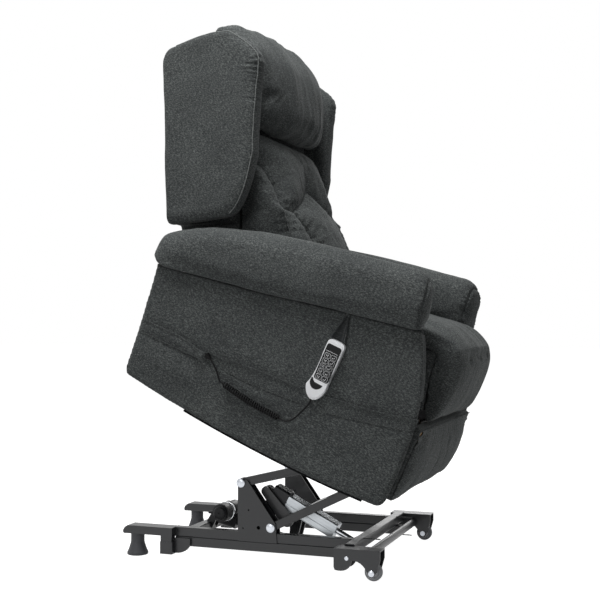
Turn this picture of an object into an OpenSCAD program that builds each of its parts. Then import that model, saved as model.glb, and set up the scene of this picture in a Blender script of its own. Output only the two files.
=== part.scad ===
// Lift recliner chair, drawn with the lift raised and the chair tipped forward.
// Axes: X across the chair (the sitter's left is +X), Y to the rear, Z up, floor at Z = 0.
// Parts of the chair body are drawn in the seat's own frame: "u" runs back from the front
// corner of the side panels and "w" runs square to their lower edge. in_chair() places them.

/* [Lift] */
// Angle between the seat frame and the floor with the lift fully raised
lift_tilt = 24.4; // [24:0.1:25]
// Height of the side panels' front corner above the floor, raised
corner_z = 219; // [214:1:224]
// Distance of that corner in front of the frame datum, raised
corner_y = 341; // [336:1:346]

/* [Base frame] */
// Half width over the outer faces of the side rails
rail_half = 214; // [212:0.5:215]
// Width of the rail tubes
rail_w = 28; // [27:0.5:28]
// Height of one rail tube; each rail is two tubes, one on the other
rail_h = 28.5; // [28:0.25:28.5]
// Floor clearance under the rails
rail_z = 35; // [33:0.5:35]
// Half the track of the front castors
castor_x = 305.6; // [304:0.1:307]
// Diameter of the front castors
castor_d = 50; // [49:0.5:50]
// Height of the upright plates' top edge above the floor
upright_top = 248; // [246:1:250]

/* [Linkage] */
// Length of the lower lift arm between its pivots
lift_arm_len = 400; // [398:0.5:402]
// Slope of the lower lift arm, raised
lift_arm_angle = 25.9; // [25.6:0.1:26.2]
// Length of the upper link between its pivots
upper_link_len = 483.4; // [482:0.1:485]
// Slope of the upper link, raised
upper_link_angle = 13.8; // [13.6:0.1:14]
// Radius of the pivot bolts
bolt_r = 8; // [7:0.5:8]

/* [Chair body] */
// Half width over the padded arms
arm_half = 405; // [400:1:408]
// Half width over the outer side panels
panel_half = 375; // [373:1:377]
// Thickness of the side panels
panel_t = 20; // [16:1:20]
// Half width of the seat cushion
seat_half = 258; // [250:1:259]
// Half width over the wings
wing_half = 360; // [356:1:362]
// Thickness of a wing
wing_t = 60; // [56:1:61]

/* [Handset cord] */
// Diameter of the handset cord
cord_d = 4.2; // [4:0.1:4.4]
// Outer diameter of the curls
curl_d = 14.2; // [13.6:0.1:14.6]
// Number of curls
curl_count = 27; // [24:1:28]

/* [Hidden] */

$fn = 48;
centre_shift = 27.8;        // moves the frame datum so that the chair is centred on Y = 0
fit = 0.08;                 // radial clearance of a bolt or pin that turns in its bore
rail_top = rail_z + 2 * rail_h;
rail_in = rail_half - rail_w;
link_x = rail_half - rail_w / 2;
plate_t = 3.4;
link_w = 25;
rounding = 3;

// Side-view points are [y, z] in the base frame and [u, w] in the chair's frame.
pivot_a = [125, 238];
pivot_d = [29, 109];
dir_arm = [-cos(lift_arm_angle), sin(lift_arm_angle)];
dir_link = [-cos(upper_link_angle), sin(upper_link_angle)];
pivot_c = pivot_d + lift_arm_len * dir_arm;
pivot_b = pivot_a + upper_link_len * dir_link;
torque_at = pivot_d + 42 * dir_arm;
tie_at = pivot_a + 330 * dir_link;
front_foot = [-211, 70];
front_head = [60, 211];
front_drive_x = -145;
rear_foot = [268, 115];
rear_head = [4, 49];
rear_drive_x = -70;
castor_at = [-315, castor_d / 2];

// The same pivots in the chair's frame
function to_chair(p) = let (d = [p[0] + corner_y, p[1] - corner_z])
    [d[0] * cos(lift_tilt) + d[1] * sin(lift_tilt), -d[0] * sin(lift_tilt) + d[1] * cos(lift_tilt)];
lug_c = to_chair(pivot_c);
lug_b = to_chair(pivot_b);

back_pivot = [704, 223];
recline_foot = [300, 190];
recline_head = [694, 163];
recline_x = 140;
legrest_pivot = [45, 195];
legrest_knee = legrest_pivot + 125 * [cos(-15), sin(-15)];
legrest_ankle = [10, 165];
legrest_x = 250;

steel = [0.20, 0.20, 0.22];
zinc = [0.80, 0.81, 0.82];
cloth = [0.26, 0.27, 0.27];
rubber = [0.12, 0.12, 0.13];

// ---------------------------------------------------------------- placing
module in_base() translate([0, centre_shift, 0]) children();
module in_chair() translate([0, centre_shift - corner_y, corner_z]) rotate([lift_tilt, 0, 0]) children();
module side(s) mirror([s < 0 ? 1 : 0, 0, 0]) children();

// ---------------------------------------------------------------- shapes
// Corner points of a rectangle with rounded corners, centred
function round_rect(w, h, r, n = 6) = [for (q = [0:3], i = [0:n])
    [(q == 0 || q == 3 ? 1 : -1) * (w / 2 - r), (q < 2 ? 1 : -1) * (h / 2 - r)]
    + r * [cos(q * 90 + i * 90 / n), sin(q * 90 + i * 90 / n)]];

// Points along a cubic curve
function curve(a, b, c, d, n = 10) = [for (i = [0:n]) let (t = i / n, s = 1 - t)
    s * s * s * a + 3 * s * s * t * b + 3 * s * t * t * c + t * t * t * d];

// A side-view outline given thickness from x0 to x1
module plate(points, x0, x1)
    translate([x0, 0, 0]) rotate([90, 0, 90]) linear_extrude(x1 - x0) polygon(points);

// A round bar along X through a side-view point
module pin(p, x0, x1, r)
    translate([x0, p[0], p[1]]) rotate([0, 90, 0]) cylinder(r = r, h = x1 - x0);

// A rounded tube along X
module cross_bar(p, x0, x1, w, h, r = rounding)
    plate([for (q = round_rect(w, h, r)) p + q], x0, x1);

// A rounded bar from p to q in side view, centred on x, from s0 to s1 along the line
module bar(p, q, x, w, h, s0, s1, r = rounding) {
    a = atan2(q[1] - p[1], q[0] - p[0]);
    translate([x, p[0], p[1]]) rotate([a, 0, 0]) translate([0, s0, 0])
        rotate([-90, 0, 0]) linear_extrude(s1 - s0) polygon(round_rect(w, h, r));
}

// A round bar from p towards q in side view, from s0 to s1 along the line
module rod(p, q, x, r, s0, s1) {
    a = atan2(q[1] - p[1], q[0] - p[0]);
    translate([x, p[0], p[1]]) rotate([a, 0, 0]) translate([0, s0, 0])
        rotate([-90, 0, 0]) cylinder(r = r, h = s1 - s0);
}

// Points along an arc
function arc(c, r, a0, a1, n = 14) = [for (i = [0:n]) let (a = a0 + (a1 - a0) * i / n) c + r * [cos(a),
    sin(a)]];

// A flat lever: two round ends joined by their outer tangents
module lever(p, q, r1, r2, x0, x1) {
    a = atan2(q[1] - p[1], q[0] - p[0]);
    b = acos((r1 - r2) / norm(q - p));
    plate(concat(arc(p, r1, a + b, a + 360 - b), arc(q, r2, a - b, a + b)), x0, x1);
}

// A closed skin over rings of points, each ring with the same number of points; its ends meet in a
// middle point, or with "bulge" on a line midway between the ring's two halves, pushed out by it
module loft(rings, bulge = 0) {
    n = len(rings[0]);
    m = len(rings);
    h = n / 2;
    out = sign(rings[0][0][0] - rings[m - 1][0][0]) * bulge;
    mid = bulge == 0
        ? [for (k = [0, m - 1]) [for (c = [0:2]) let (v = [for (p = rings[k]) p[c]])
            (v * [for (i = v) 1]) / n]]
        : [for (k = [0, 1], i = [0:h - 1]) (rings[k * (m - 1)][i] + rings[k * (m - 1)][n - 1 - i]) / 2
            + [k == 0 ? out : -out, 0, 0]];
    points = concat([for (ring = rings) for (p = ring) p], mid);
    s = m * n;
    fan = concat(
        [for (i = [0:n - 1]) [s, (i + 1) % n, i]],
        [for (i = [0:n - 1]) [s + 1, (m - 1) * n + i, (m - 1) * n + (i + 1) % n]]);
    band = concat(
        [for (i = [0:h - 2]) [i + 1, i, s + i]],
        [for (i = [0:h - 2]) [i + 1, s + i, s + i + 1]],
        [for (i = [0:h - 2]) [n - 1 - i, n - 2 - i, s + i + 1]],
        [for (i = [0:h - 2]) [n - 1 - i, s + i + 1, s + i]],
        [[0, n - 1, s], [h, h - 1, s + h - 1]]);
    far = [for (f = band) [for (k = [2:-1:0]) f[k] < s ? f[k] + (m - 1) * n : f[k] + h]];
    faces = concat(
        [for (j = [0:m - 2], i = [0:n - 1]) let (a = j * n + i, b = j * n + (i + 1) % n) [a, b, b + n]],
        [for (j = [0:m - 2], i = [0:n - 1]) let (a = j * n + i, b = j * n + (i + 1) % n) [a, b + n, a + n]],
        bulge == 0 ? fan : concat(band, far));
    polyhedron(points, faces, convexity = 6);
}

// A round tube swept along a route
function unit(v) = v / norm(v);
function tangents(p) = [for (i = [0:len(p) - 1])
    unit(p[min(i + 1, len(p) - 1)] - p[max(i - 1, 0)])];
module tube(route, d, sides) {
    t = tangents(route);
    normals = [for (i = 0, n = unit(cross(t[0], [1, 0.2, 0.1])); i < len(route);
        i = i + 1, n = i < len(route) ? unit(n - (n * t[i]) * t[i]) : n) n];
    loft([for (i = [0:len(route) - 1]) let (n = normals[i], b = cross(t[i], n))
        [for (k = [0:sides - 1]) route[i] + d / 2 * (cos(-k * 360 / sides) * n + sin(-k * 360 / sides) * b)]]);
}

// ---------------------------------------------------------------- base frame
rail_front = -262;
rail_rear = 345;
cross_y = [-252, -222];

// Side rail: two stacked tubes, with the rear channel, its stop post and gusset welded on
module rail(s) color(steel) in_base() side(s) {
    // lower tube runs on under the front cross tube, the upper one butts against it
    translate([link_x, rail_front, rail_z + rail_h / 2]) rotate([-90, 0, 0])
        linear_extrude(rail_rear - rail_front) polygon(round_rect(rail_w, rail_h, rounding));
    translate([link_x, cross_y[1], rail_z + rail_h * 1.5]) rotate([-90, 0, 0])
        linear_extrude(rail_rear - cross_y[1]) polygon(round_rect(rail_w, rail_h, rounding));
    rear_channel();
    // stop post under the channel, in two tiers, and the gusset that ties it to the rail
    translate([rail_half + 13, 365, 48]) linear_extrude(20)
        polygon(round_rect(26, 38, 2));
    translate([rail_half + 13, 365, 12]) linear_extrude(37)
        polygon(round_rect(28, 42, 4));
    plate(concat([[345, 60], [345, 14]], curve([340, 14], [315, 14], [300, 24], [292, 40], 6), [[292, 60]]),
        rail_half, rail_half + 8);
}

// Inverted channel behind the rail that carries the foot, with its rolled nose and end plate
module rear_channel() {
    inner = rail_in + 4;
    outer = rail_half + 26;
    nose = curve([511, 67], [516, 71], [515, 84], [498, rail_top], 8);
    under = curve([498, rail_top - 3], [508, 88], [511, 78], [507, 67], 8);
    cheek = concat([[rail_rear, rail_top], [rail_rear, 67]], nose);
    for (x = [inner, outer - 3]) plate(cheek, x, x + 3);
    translate([inner, rail_rear, rail_top - 3]) cube([outer - inner, 498.5 - rail_rear, 3]);
    plate(concat(nose, under), inner, outer);
    translate([rail_in, rail_rear - 0.5, 64]) cube([outer - rail_in, 4, rail_top - 64]);
}

// Front cross tube between the castor brackets, with the lugs of the front drive and the spacer tube
module front_cross_tube() color(steel) in_base() {
    inner = castor_x - 25;
    mid_y = (cross_y[0] + cross_y[1]) / 2;
    difference() {
        cross_bar([mid_y, rail_top - 14], -inner, inner, 30, 28);
        cross_bar([mid_y, rail_top - 14], -inner - 1, inner + 1, 25, 23, 1.5);
    }
    pin([-283, 60], -inner, inner, 12);
    for (x = [-168, -128]) translate([front_drive_x + (x + 148), 0, 0]) difference() {
        lever(front_foot, [mid_y + 12, rail_top - 16], 12, 13, -2.5, 2.5);
        cross_bar([mid_y, rail_top - 14], -10, 10, 29, 27);
    }
    pin(front_foot, front_drive_x - 22, front_drive_x + 22, bolt_r - 1);
}

// Rear cross tube with the lugs of the rear drive
module rear_cross_tube() color(steel) in_base() {
    difference() {
        cross_bar([295, rail_top - 14], -rail_in, rail_in, 30, 28);
        cross_bar([295, rail_top - 14], -rail_in - 1, rail_in + 1, 25, 23, 1.5);
    }
    for (x = [-20, 20]) difference() {
        lever(rear_foot, [288, rail_top - 13], 12, 13, rear_drive_x + x - 2.5, rear_drive_x + x + 2.5);
        cross_bar([295, rail_top - 14], rear_drive_x - 30, rear_drive_x + 30, 29, 27);
    }
    pin(rear_foot, rear_drive_x - 22, rear_drive_x + 22, bolt_r - 1);
}

// Upright: two plates that clamp the rail and hold both link pivots between them
module upright(s) color(steel) in_base() side(s)
    for (x = [rail_half, rail_in - plate_t]) difference() {
        plate([[133, 64], [135, 66], [135, upright_top - 3], [132, upright_top], [107, upright_top],
            [104, upright_top - 2], [16, 124], [14, 120], [9, 64]], x, x + plate_t);
        pin(pivot_a, x - 1, x + plate_t + 1, bolt_r + 0.05);
        pin(pivot_d, x - 1, x + plate_t + 1, bolt_r + 0.05);
        pin([68, 107], x - 1, x + plate_t + 1, 5.5);
        for (p = [[100, 158], [118, 103]]) pin(p, x - 1, x + plate_t + 1, 2.6);
    }

// Castor bracket: an inverted channel, its cheeks cut away to two ears that hold the axle
module castor_bracket(s) color(steel) in_base() side(s) {
    top = 88;
    cheek = concat([[-205, top], [-205, 36]], curve([-208, 28], [-225, 24], [-245, 26], [-254, 42], 6),
        curve([-258, 56], [-276, 58], [-290, 50], [-304, 26], 6),
        [for (a = [-10:-20:-170]) castor_at + 11 * [cos(a), sin(a)]],
        [[-331, 30], [-340, 62], [-340, top]]);
    for (x = [castor_x - 25, castor_x + 22]) difference() {
        plate(cheek, x, x + 3);
        pin(castor_at, x - 1, x + 4, 5.05);
        pin([-243, 62], x - 1, x + 4, 3.5);
    }
    translate([castor_x - 22, -340, top - 3]) cube([44, 135, 3]);
    // rubber-faced stop under the rear of the channel
    translate([castor_x - 22, -236, 30]) cube([44, 20, 26]);
}

// Bell-shaped rear foot
module foot(s) color(rubber) in_base() side(s)
    translate([rail_half + 1, 475, 0]) rotate_extrude()
        polygon(concat([[0, 0], [30, 0], [32.5, 2], [32.5, 7]],
            curve([31.5, 10], [28, 16], [25, 26], [22.5, 34], 6), [[21, 40], [21, 88.8], [0, 88.8]]));

// Pivot bolts of the links, the castor axles and the bolts of the castor brackets
module base_bolts() color(zinc) in_base() for (s = [-1, 1]) side(s) {
    for (p = [pivot_a, pivot_d]) {
        pin(p, rail_in - plate_t - 1, rail_half + plate_t, bolt_r);
        dome(p, rail_half + plate_t, 14, 7);
        pin(p, rail_in - plate_t - 5, rail_in - plate_t, 10);
    }
    pin(castor_at, castor_x - 26, castor_x + 26, 5);
    dome(castor_at, castor_x + 25, 9, 5);
    pin(castor_at, castor_x - 29, castor_x - 25, 8);
    pin([-243, 62], castor_x + 20, castor_x + 25, 3.4);
    dome([-243, 62], castor_x + 25, 6, 3);
}
// Domed bolt head standing on the plane x
module dome(p, x, r, h) translate([x, p[0], p[1]]) rotate([0, 90, 0]) rotate_extrude()
    polygon(concat([[0, 0], [r, 0]], [for (i = [0:5]) [r * cos(i * 15), h * 0.3 + h * 0.7 * sin(i * 15)]],
        [[0, h]]));

// Castor: tyre, rim with its ring groove, and hub on the axle
module castor_wheel(s) color([0.55, 0.55, 0.56]) in_base() side(s)
    translate([castor_x, castor_at[0], castor_at[1]]) rotate([0, 90, 0]) rotate_extrude($fn = 64)
        polygon([[5 + fit, -15], [9, -15], [9, -9], [13, -8], [16, -8], [17, -10], [21, -10], [24, -8.5],
            [25, -5], [25, 5], [24, 8.5], [21, 10], [17, 10], [16, 8], [13, 8], [9, 9], [9, 15],
            [5 + fit, 15]]);

// ---------------------------------------------------------------- linkage
// Lower lift arm: square tube with a bored eye at each end
module lift_arm(s) color(steel) in_base() side(s) difference() {
    union() {
        bar(pivot_d, pivot_c, link_x, link_w, 25, 2, lift_arm_len - 2);
        for (p = [pivot_d, pivot_c]) pin(p, link_x - link_w / 2 - 0.3, link_x + link_w / 2 + 0.3, 14);
    }
    for (p = [pivot_d, pivot_c]) pin(p, link_x - 20, link_x + 20, bolt_r + fit);
}

// Torque tube between the lower arms, with the cranks that both drives push on
module lift_torque_tube() color(steel) in_base() {
    inner = link_x - link_w / 2;
    pin(torque_at, -inner, inner, 14);
    // crank of the front drive, beside its eye
    lever(torque_at, front_head, 20, 14, -180.4, -175.4);
    pin(front_head, -176, front_drive_x + 6, bolt_r - 1);
    pin(front_head, front_drive_x + 5, front_drive_x + 8, 9.6);
    // fork of the rear drive
    for (x = [rear_drive_x - 25, rear_drive_x + 19]) lever(torque_at, rear_head, 20, 12, x, x + 6);
    pin(rear_head, rear_drive_x - 22, rear_drive_x + 22, bolt_r - 1);
}

// Upper link: grooved bar, and on the left one the tie tube that joins both; the bore at the
// chair end is oversize, because that pivot is where the closed linkage is opened
module upper_link(s, with_tie) color(steel) in_base() side(s) {
    inner = link_x - link_w / 2;
    difference() {
        union() {
            bar(pivot_a, pivot_b, link_x, link_w, 26, 2, upper_link_len - 8, 2);
            pin(pivot_a, inner - 0.3, inner + link_w + 0.3, 14);
            pin(pivot_b, inner - 0.3, inner + link_w + 0.3, 19);
        }
        pin(pivot_a, link_x - 20, link_x + 20, bolt_r + fit);
        pin(pivot_b, link_x - 20, link_x + 20, bolt_r + 5);
        bar(pivot_a, pivot_b, inner + link_w, 2.6, 14, 26, upper_link_len - 34, 0.6);
    }
    if (with_tie) pin(tie_at, -inner, inner + 1, 11);
}

// ---------------------------------------------------------------- lift drives
front_len = norm(front_head - front_foot);
// Gearbox and cross-mounted motor of the front drive, with its rear eye
module front_drive_housing() color([0.09, 0.09, 0.10]) in_base() {
    axis = (front_head - front_foot) / front_len;
    below = [axis[1], -axis[0]];
    motor = front_foot + 275 * axis + 45 * below;
    difference() {
        union() {
            bar(front_foot, front_head, front_drive_x, 50, 58, 236, 288, 8);
            bar(front_foot, front_head, front_drive_x - 10.7, 27, 28, 280, front_len - 2, 4);
            pin(front_head, front_drive_x - 24.5, front_drive_x + 3.1, 15);
        }
        pin(front_head, front_drive_x - 30, front_drive_x + 10, bolt_r - 1 + 2.6);
        rod(front_foot, front_head, front_drive_x, 10.4, 230, 262);
    }
    // worm housing carries the motor below the gearbox
    pin(motor, front_drive_x - 23, front_drive_x + 24, 27);
    pin(motor, front_drive_x + 24, front_drive_x + 30, 29);
    pin(motor, front_drive_x + 30, front_drive_x + 106, 28);
    pin(motor, front_drive_x + 106, front_drive_x + 114, 24);
}

// Aluminium profile of the front drive, grooved along its sides and bored for the rod
module front_drive_tube() color([0.72, 0.74, 0.75]) in_base() difference() {
    bar(front_foot, front_head, front_drive_x, 46, 46, 64, 236, 5);
    rod(front_foot, front_head, front_drive_x, 10.05, 60, 240);
    for (x = [-22.3, 22.3]) bar(front_foot, front_head, front_drive_x + x, 3, 8, 60, 240, 0.5);
}

// Rod of the front drive with its clevis eye on the front cross tube
module front_drive_rod() color(zinc) in_base() difference() {
    union() {
        rod(front_foot, front_head, front_drive_x, 10, 9, 196);
        pin(front_foot, front_drive_x - 16, front_drive_x + 16, 10.4);
    }
    pin(front_foot, front_drive_x - 20, front_drive_x + 20, bolt_r - 1 + fit);
}

rear_len = norm(rear_head - rear_foot);
// Gearbox, tube and cross-mounted motor of the rear drive, hung on the rear cross tube
module rear_drive_housing() color([0.09, 0.09, 0.10]) in_base() {
    axis = (rear_head - rear_foot) / rear_len;
    above = [axis[1], -axis[0]];
    motor = rear_foot + 46 * axis + 30 * above;
    difference() {
        union() {
            pin(rear_foot, rear_drive_x - 15.4, rear_drive_x + 15.4, 14);
            bar(rear_foot, rear_head, rear_drive_x, 30, 23, 5, 24, 4);
            bar(rear_foot, rear_head, rear_drive_x, 46, 50, 18, 76, 7);
            rod(rear_foot, rear_head, rear_drive_x, 16, 70, 206);
        }
        pin(rear_foot, rear_drive_x - 30, rear_drive_x + 30, bolt_r - 1 + fit);
        rod(rear_foot, rear_head, rear_drive_x, 8.05, 100, 210);
    }
    pin(motor, rear_drive_x - 26, rear_drive_x + 20, 25);
    pin(motor, rear_drive_x - 34, rear_drive_x - 26, 29);
    pin(motor, rear_drive_x - 92, rear_drive_x - 34, 28);
    pin(motor, rear_drive_x - 100, rear_drive_x - 92, 22);
    // plug in the end of the gearbox
    translate([rear_drive_x - 45, motor[0] + 14, motor[1] - 8]) rotate([-90, 0, 0]) cylinder(r1 = 8,
        r2 = 4, h = 48);
}

// Rod of the rear drive with the eye in the fork of the torque tube
module rear_drive_rod() color(zinc) in_base() difference() {
    union() {
        rod(rear_foot, rear_head, rear_drive_x, 8, 142, rear_len - 8);
        pin(rear_head, rear_drive_x - 14, rear_drive_x + 14, 11.5);
    }
    pin(rear_head, rear_drive_x - 20, rear_drive_x + 20, bolt_r - 1 + 2);
}

// ---------------------------------------------------------------- seat frame
deck_w = 240;
// Seat rail: square tube with the two front lug plates and their pins for both links
module seat_rail(s) color(steel) in_chair() side(s) {
    difference() {
        translate([link_x, 20, deck_w - 12.5]) rotate([-90, 0, 0])
            linear_extrude(720) polygon(round_rect(link_w, 25, rounding));
        pin(back_pivot, link_x - 20, link_x + 20, 6 + fit);
    }
    for (x = [rail_in - plate_t, rail_half]) difference() {
        plate(concat([[16, deck_w - 1], [12, 150]], [for (a = [180:20:340]) lug_c + 17 * [cos(a), sin(a)]],
            [for (a = [-30:30:30]) lug_b + 24 * [cos(a), sin(a)]], [[84, 160], [100, deck_w - 1]]), x,
                x + plate_t);
        pin(legrest_pivot, x - 1, x + plate_t + 1, 11 + fit);
    }
    for (p = [lug_b, lug_c]) pin(p, rail_in - plate_t - 3, rail_half + plate_t + 3, bolt_r);
    // packing strips between the rail and its lug plates
    for (x = [rail_in, rail_half - 1.5]) translate([x, 24, deck_w - 22]) cube([1.5, 60, 18]);
}

// Cross tubes that carry the seat rails, the side panels and the drives
module seat_cross_tubes() color(steel) in_chair() {
    reach = panel_half - panel_t;
    for (u = [125, 400, 660]) cross_bar([u, deck_w + 11], -reach, reach, 30, 22);
    // hanger of the recline drive
    for (x = [-25, 25]) lever(recline_foot, [398, deck_w + 5], 11, 9, recline_x + x - 2, recline_x + x + 2);
    pin(recline_foot, recline_x - 29, recline_x + 29, 6);
}

// ---------------------------------------------------------------- arms and side panels
// Height of the seam under the arm pad, and of the pad's top line, along the chair
seam_line = [[72, 488], [140, 476], [214, 462], [337, 439], [403, 425], [551, 394], [746, 360], [872, 338],
    [890, 346], [912, 362], [926, 378]];
top_line = [[72, 600], [90, 618], [104, 632], [125, 642], [155, 646], [250, 634], [373, 616], [523, 588],
    [631, 565], [782, 515], [831, 490], [884, 455], [912, 432], [926, 402]];
seam_drop = 0.6;

// Arm side: outer panel with its bowed lower edge and swept front, the front facing and the
// padded inner wall, open underneath
module side_panel(s) color(cloth) in_chair() side(s) {
    front = curve([80, 486 - seam_drop], [58, 440], [-17, 330], [-17, 123], 12);
    outline = concat(front, [[-17, 30], [-12, 10], [-2, 0]],
        curve([10, -2], [280, -27], [560, -27], [842, -1], 12), [[850, 3], [856, 14]],
        curve([862, 100], [868, 180], [878, 270], [888, 342 - seam_drop], 5),
        [for (i = [7:-1:1]) seam_line[i] - [0, seam_drop]]);
    plate(outline, panel_half - panel_t, panel_half);
    facing = [for (p = front) if (p[1] > 262 && p[1] < 480) p];
    plate(concat([for (p = facing) p + [10, 0]], [for (i = [len(facing) - 1:-1:0]) facing[i] + [26, 0]]),
        286, panel_half - panel_t);
    plate(concat([[40, deck_w + 25], [96, 484 - seam_drop]], [for (i = [1:6]) seam_line[i] - [0, seam_drop]],
        [[700, 358], [700, deck_w + 25]]), 266, 286);
}

// Padded arm: flat on the seam, full at the sides, falling away in a curve to the rear
// How far the front end of an arm stands back at a height over its seam: it is fullest halfway up
function arm_lean(h) = 12 + 0.12 * max(0, h - 75) + 13 * pow(max(0, 1 - h / 85), 1.4);
module arm_pad(s) color(cloth) in_chair() side(s) {
    half = (arm_half - 263) / 2;
    section = [[0.86, 0], [0.965, 0.1], [1, 0.28], [0.985, 0.48], [0.91, 0.68], [0.76, 0.85], [0.52,
        0.96], [0.2, 1]];
    profile = concat(section, [for (i = [len(section) - 1:-1:0]) [-section[i][0], section[i][1]]]);
    stations = [[84, 0.86], [90, 0.95], [104, 1], [155, 1], [214, 1], [337, 0.99], [403, 0.985], [551, 0.98],
        [746, 0.98], [831, 0.97], [866, 0.95], [888, 0.9], [904, 0.8], [912, 0.62], [915, 0.5]];
    loft([for (st = stations) let (u = st[0], lo = lookup(u, seam_line), hi = lookup(u, top_line))
        [for (p = profile) let (w = lo + (hi - lo) * (u < 100 ? 0.04 + 0.92 * p[1] : p[1]))
            [263 + half + half * st[1] * p[0], u + (u < 160 ? arm_lean(w - lo) * (160 - u) / 76 : 0), w]]]);
}

// ---------------------------------------------------------------- seat
// Seat cushion: a thick crowned pad that falls over the front as a waterfall, on a narrower block
module seat_cushion() color(cloth) in_chair() {
    stations = [0.988, 0.974, 0.935, 0.82, 0.62, 0.35, 0.1];
    xs = concat([for (s = stations) s], [for (i = [len(stations) - 1:-1:0]) -stations[i]]);
    outer = concat([[604, 425], [560, 436], [440, 452], [320, 472], [200, 492]],
        curve([110, 506], [64, 513], [20, 515], [-8, 499], 5),
        curve([-30, 486], [-49, 440], [-48, 382], [-46, 336], 5),
        curve([-44, 300], [-40, 264], [-28, 242], [-2, 241], 5));
    inner = concat([[8, 262], [11, 275], [15, 288], [18, 300], [21, 317], [24, 334], [27, 350], [30, 380]],
        [[32, 400], [33, 409], [34, 420], [35, 430], [36, 440], [46, 441], [60, 442], [76, 440.5]],
        [[92, 438.5], [110, 436], [200, 424], [320, 405], [440, 386], [560, 371], [602, 366]]);
    loft([for (x = xs) let (e = pow(abs(x), 4))
        concat([for (p = outer) [x * seat_half, p[0] + e * (p[0] < 40 ? 16 * (40 - p[0]) / 110 : 0),
            p[1] - e * (p[1] > 420 ? 20 : 0)]], [for (p = inner) [x * seat_half, p[0], p[1]]])],
                bulge = 0.012 * seat_half);
    plate([[11, 266], [618, 266], [618, 361], [602, 363], [560, 368], [440, 383], [320, 402], [200, 421],
        [110, 433], [60, 439], [39, 437], [35, 400], [30, 350], [21, 300]], -238, 238);
}

// Recline drive: gearbox, motor and tube hung under the seat
recline_len = norm(recline_head - recline_foot);
module recline_drive() color([0.09, 0.09, 0.10]) in_chair() difference() {
    union() {
        pin(recline_foot, recline_x - 13, recline_x + 13, 12);
        bar(recline_foot, recline_head, recline_x, 26, 20, 4, 20, 3);
        bar(recline_foot, recline_head, recline_x, 42, 42, 16, 72, 6);
        rod(recline_foot, recline_head, recline_x, 15, 70, 250);
        translate([recline_x - 20, recline_foot[0] + 45, recline_foot[1] - 12]) rotate([0, -90,
            0]) cylinder(r = 18, h = 70);
    }
    pin(recline_foot, recline_x - 20, recline_x + 20, 6 + fit);
    rod(recline_foot, recline_head, recline_x, 7.05, 120, 251);
}

module recline_rod() color(zinc) in_chair() difference() {
    union() {
        rod(recline_foot, recline_head, recline_x, 7, 170, recline_len - 6);
        pin(recline_head, recline_x - 10, recline_x + 10, 11.5);
    }
    pin(recline_head, recline_x - 20, recline_x + 20, 4.5 + 4.2);
}

// Leg-rest drive: closed gearmotor on the front cross tube
module legrest_drive() color([0.09, 0.09, 0.10]) in_chair() {
    translate([-140, 112, deck_w - 22]) rotate([-90, 0, 0]) linear_extrude(70) polygon(round_rect(48, 44, 7));
    translate([-140, 181, deck_w - 22]) rotate([-90, 0, 0]) cylinder(r = 20, h = 84);
    translate([-140, 264, deck_w - 22]) rotate([-90, 0, 0]) cylinder(r = 15, h = 8);
}

// ---------------------------------------------------------------- leg rest
// Torque tube with the inner links that swing forward
module legrest_inner_links() color(steel) in_chair() {
    pin(legrest_pivot, -legrest_x, legrest_x, 11);
    for (s = [-1, 1]) side(s) difference() {
        lever(legrest_pivot, legrest_knee, 15, 11, legrest_x - 12, legrest_x - 6);
        pin(legrest_knee, legrest_x - 20, legrest_x, 5 + fit);
    }
}

// Outer links with their knee pins, which carry the leg-rest board
module legrest_outer_links() color(steel) in_chair() for (s = [-1, 1]) side(s) {
    difference() {
        lever(legrest_knee, legrest_ankle, 11, 10, legrest_x - 5.4, legrest_x + 0.6);
        pin(legrest_ankle, legrest_x - 10, legrest_x + 10, 5 + fit);
    }
    pin(legrest_knee, legrest_x - 13, legrest_x - 5, 5);
}

// Leg-rest board with its two hinge brackets
module legrest_board() color([0.45, 0.36, 0.26]) in_chair() {
    plate([[-22, 28], [-8, 28], [-8, 228], [-22, 228]], -325, 325);
    for (s = [-1, 1]) side(s) {
        lever(legrest_ankle, [-13, 140], 9, 8, legrest_x + 1.2, legrest_x + 6);
        pin(legrest_ankle, legrest_x - 7, legrest_x + 4, 5);
    }
}

// Leg-rest pad: a full roll in front of the board
module legrest_pad() color(cloth) in_chair() {
    stations = [1, 0.985, 0.93, 0.8, 0.5, 0.15];
    xs = concat([for (s = stations) -s], [for (i = [len(stations) - 1:-1:0]) stations[i]]);
    outline = concat([[-22.4, 236], [-22.4, 130], [-22.4, 22]], curve([-24, 17], [-38, 20], [-45, 40],
        [-47, 80], 5),
        curve([-48, 110], [-48, 150], [-45, 196], [-37, 220], 4), [[-26, 236]]);
    loft([for (x = xs) [for (p = outline) let (e = pow(abs(x), 5))
        [x * 345, p[0] + e * (p[0] < -24 ? 0.45 * (-24 - p[0]) : 0), 128 + (p[1] - 128) * (1 - 0.02 * e)]]]);
}

// ---------------------------------------------------------------- backrest
// Inner face of the back, from the seat to the top rail
function back_line(w) = 645 + 0.4143 * (w - 300);

// Back frame: upholstered body, narrow between the arms and wide above them
module back_frame() color(cloth) in_chair() {
    plate([[back_line(304), 304], [838, 304], [846, 312], [919, 458], [918, 470], [back_line(560),
        560]], -258, 258);
    plate(concat([[back_line(538) + 4, 538], [919, 458], [1124, 884]],
        curve([1131, 900], [1134, 922], [1124, 935], [1066, 1000], 5), [[back_line(1000), 1000]]), -298, 298);
}

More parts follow.
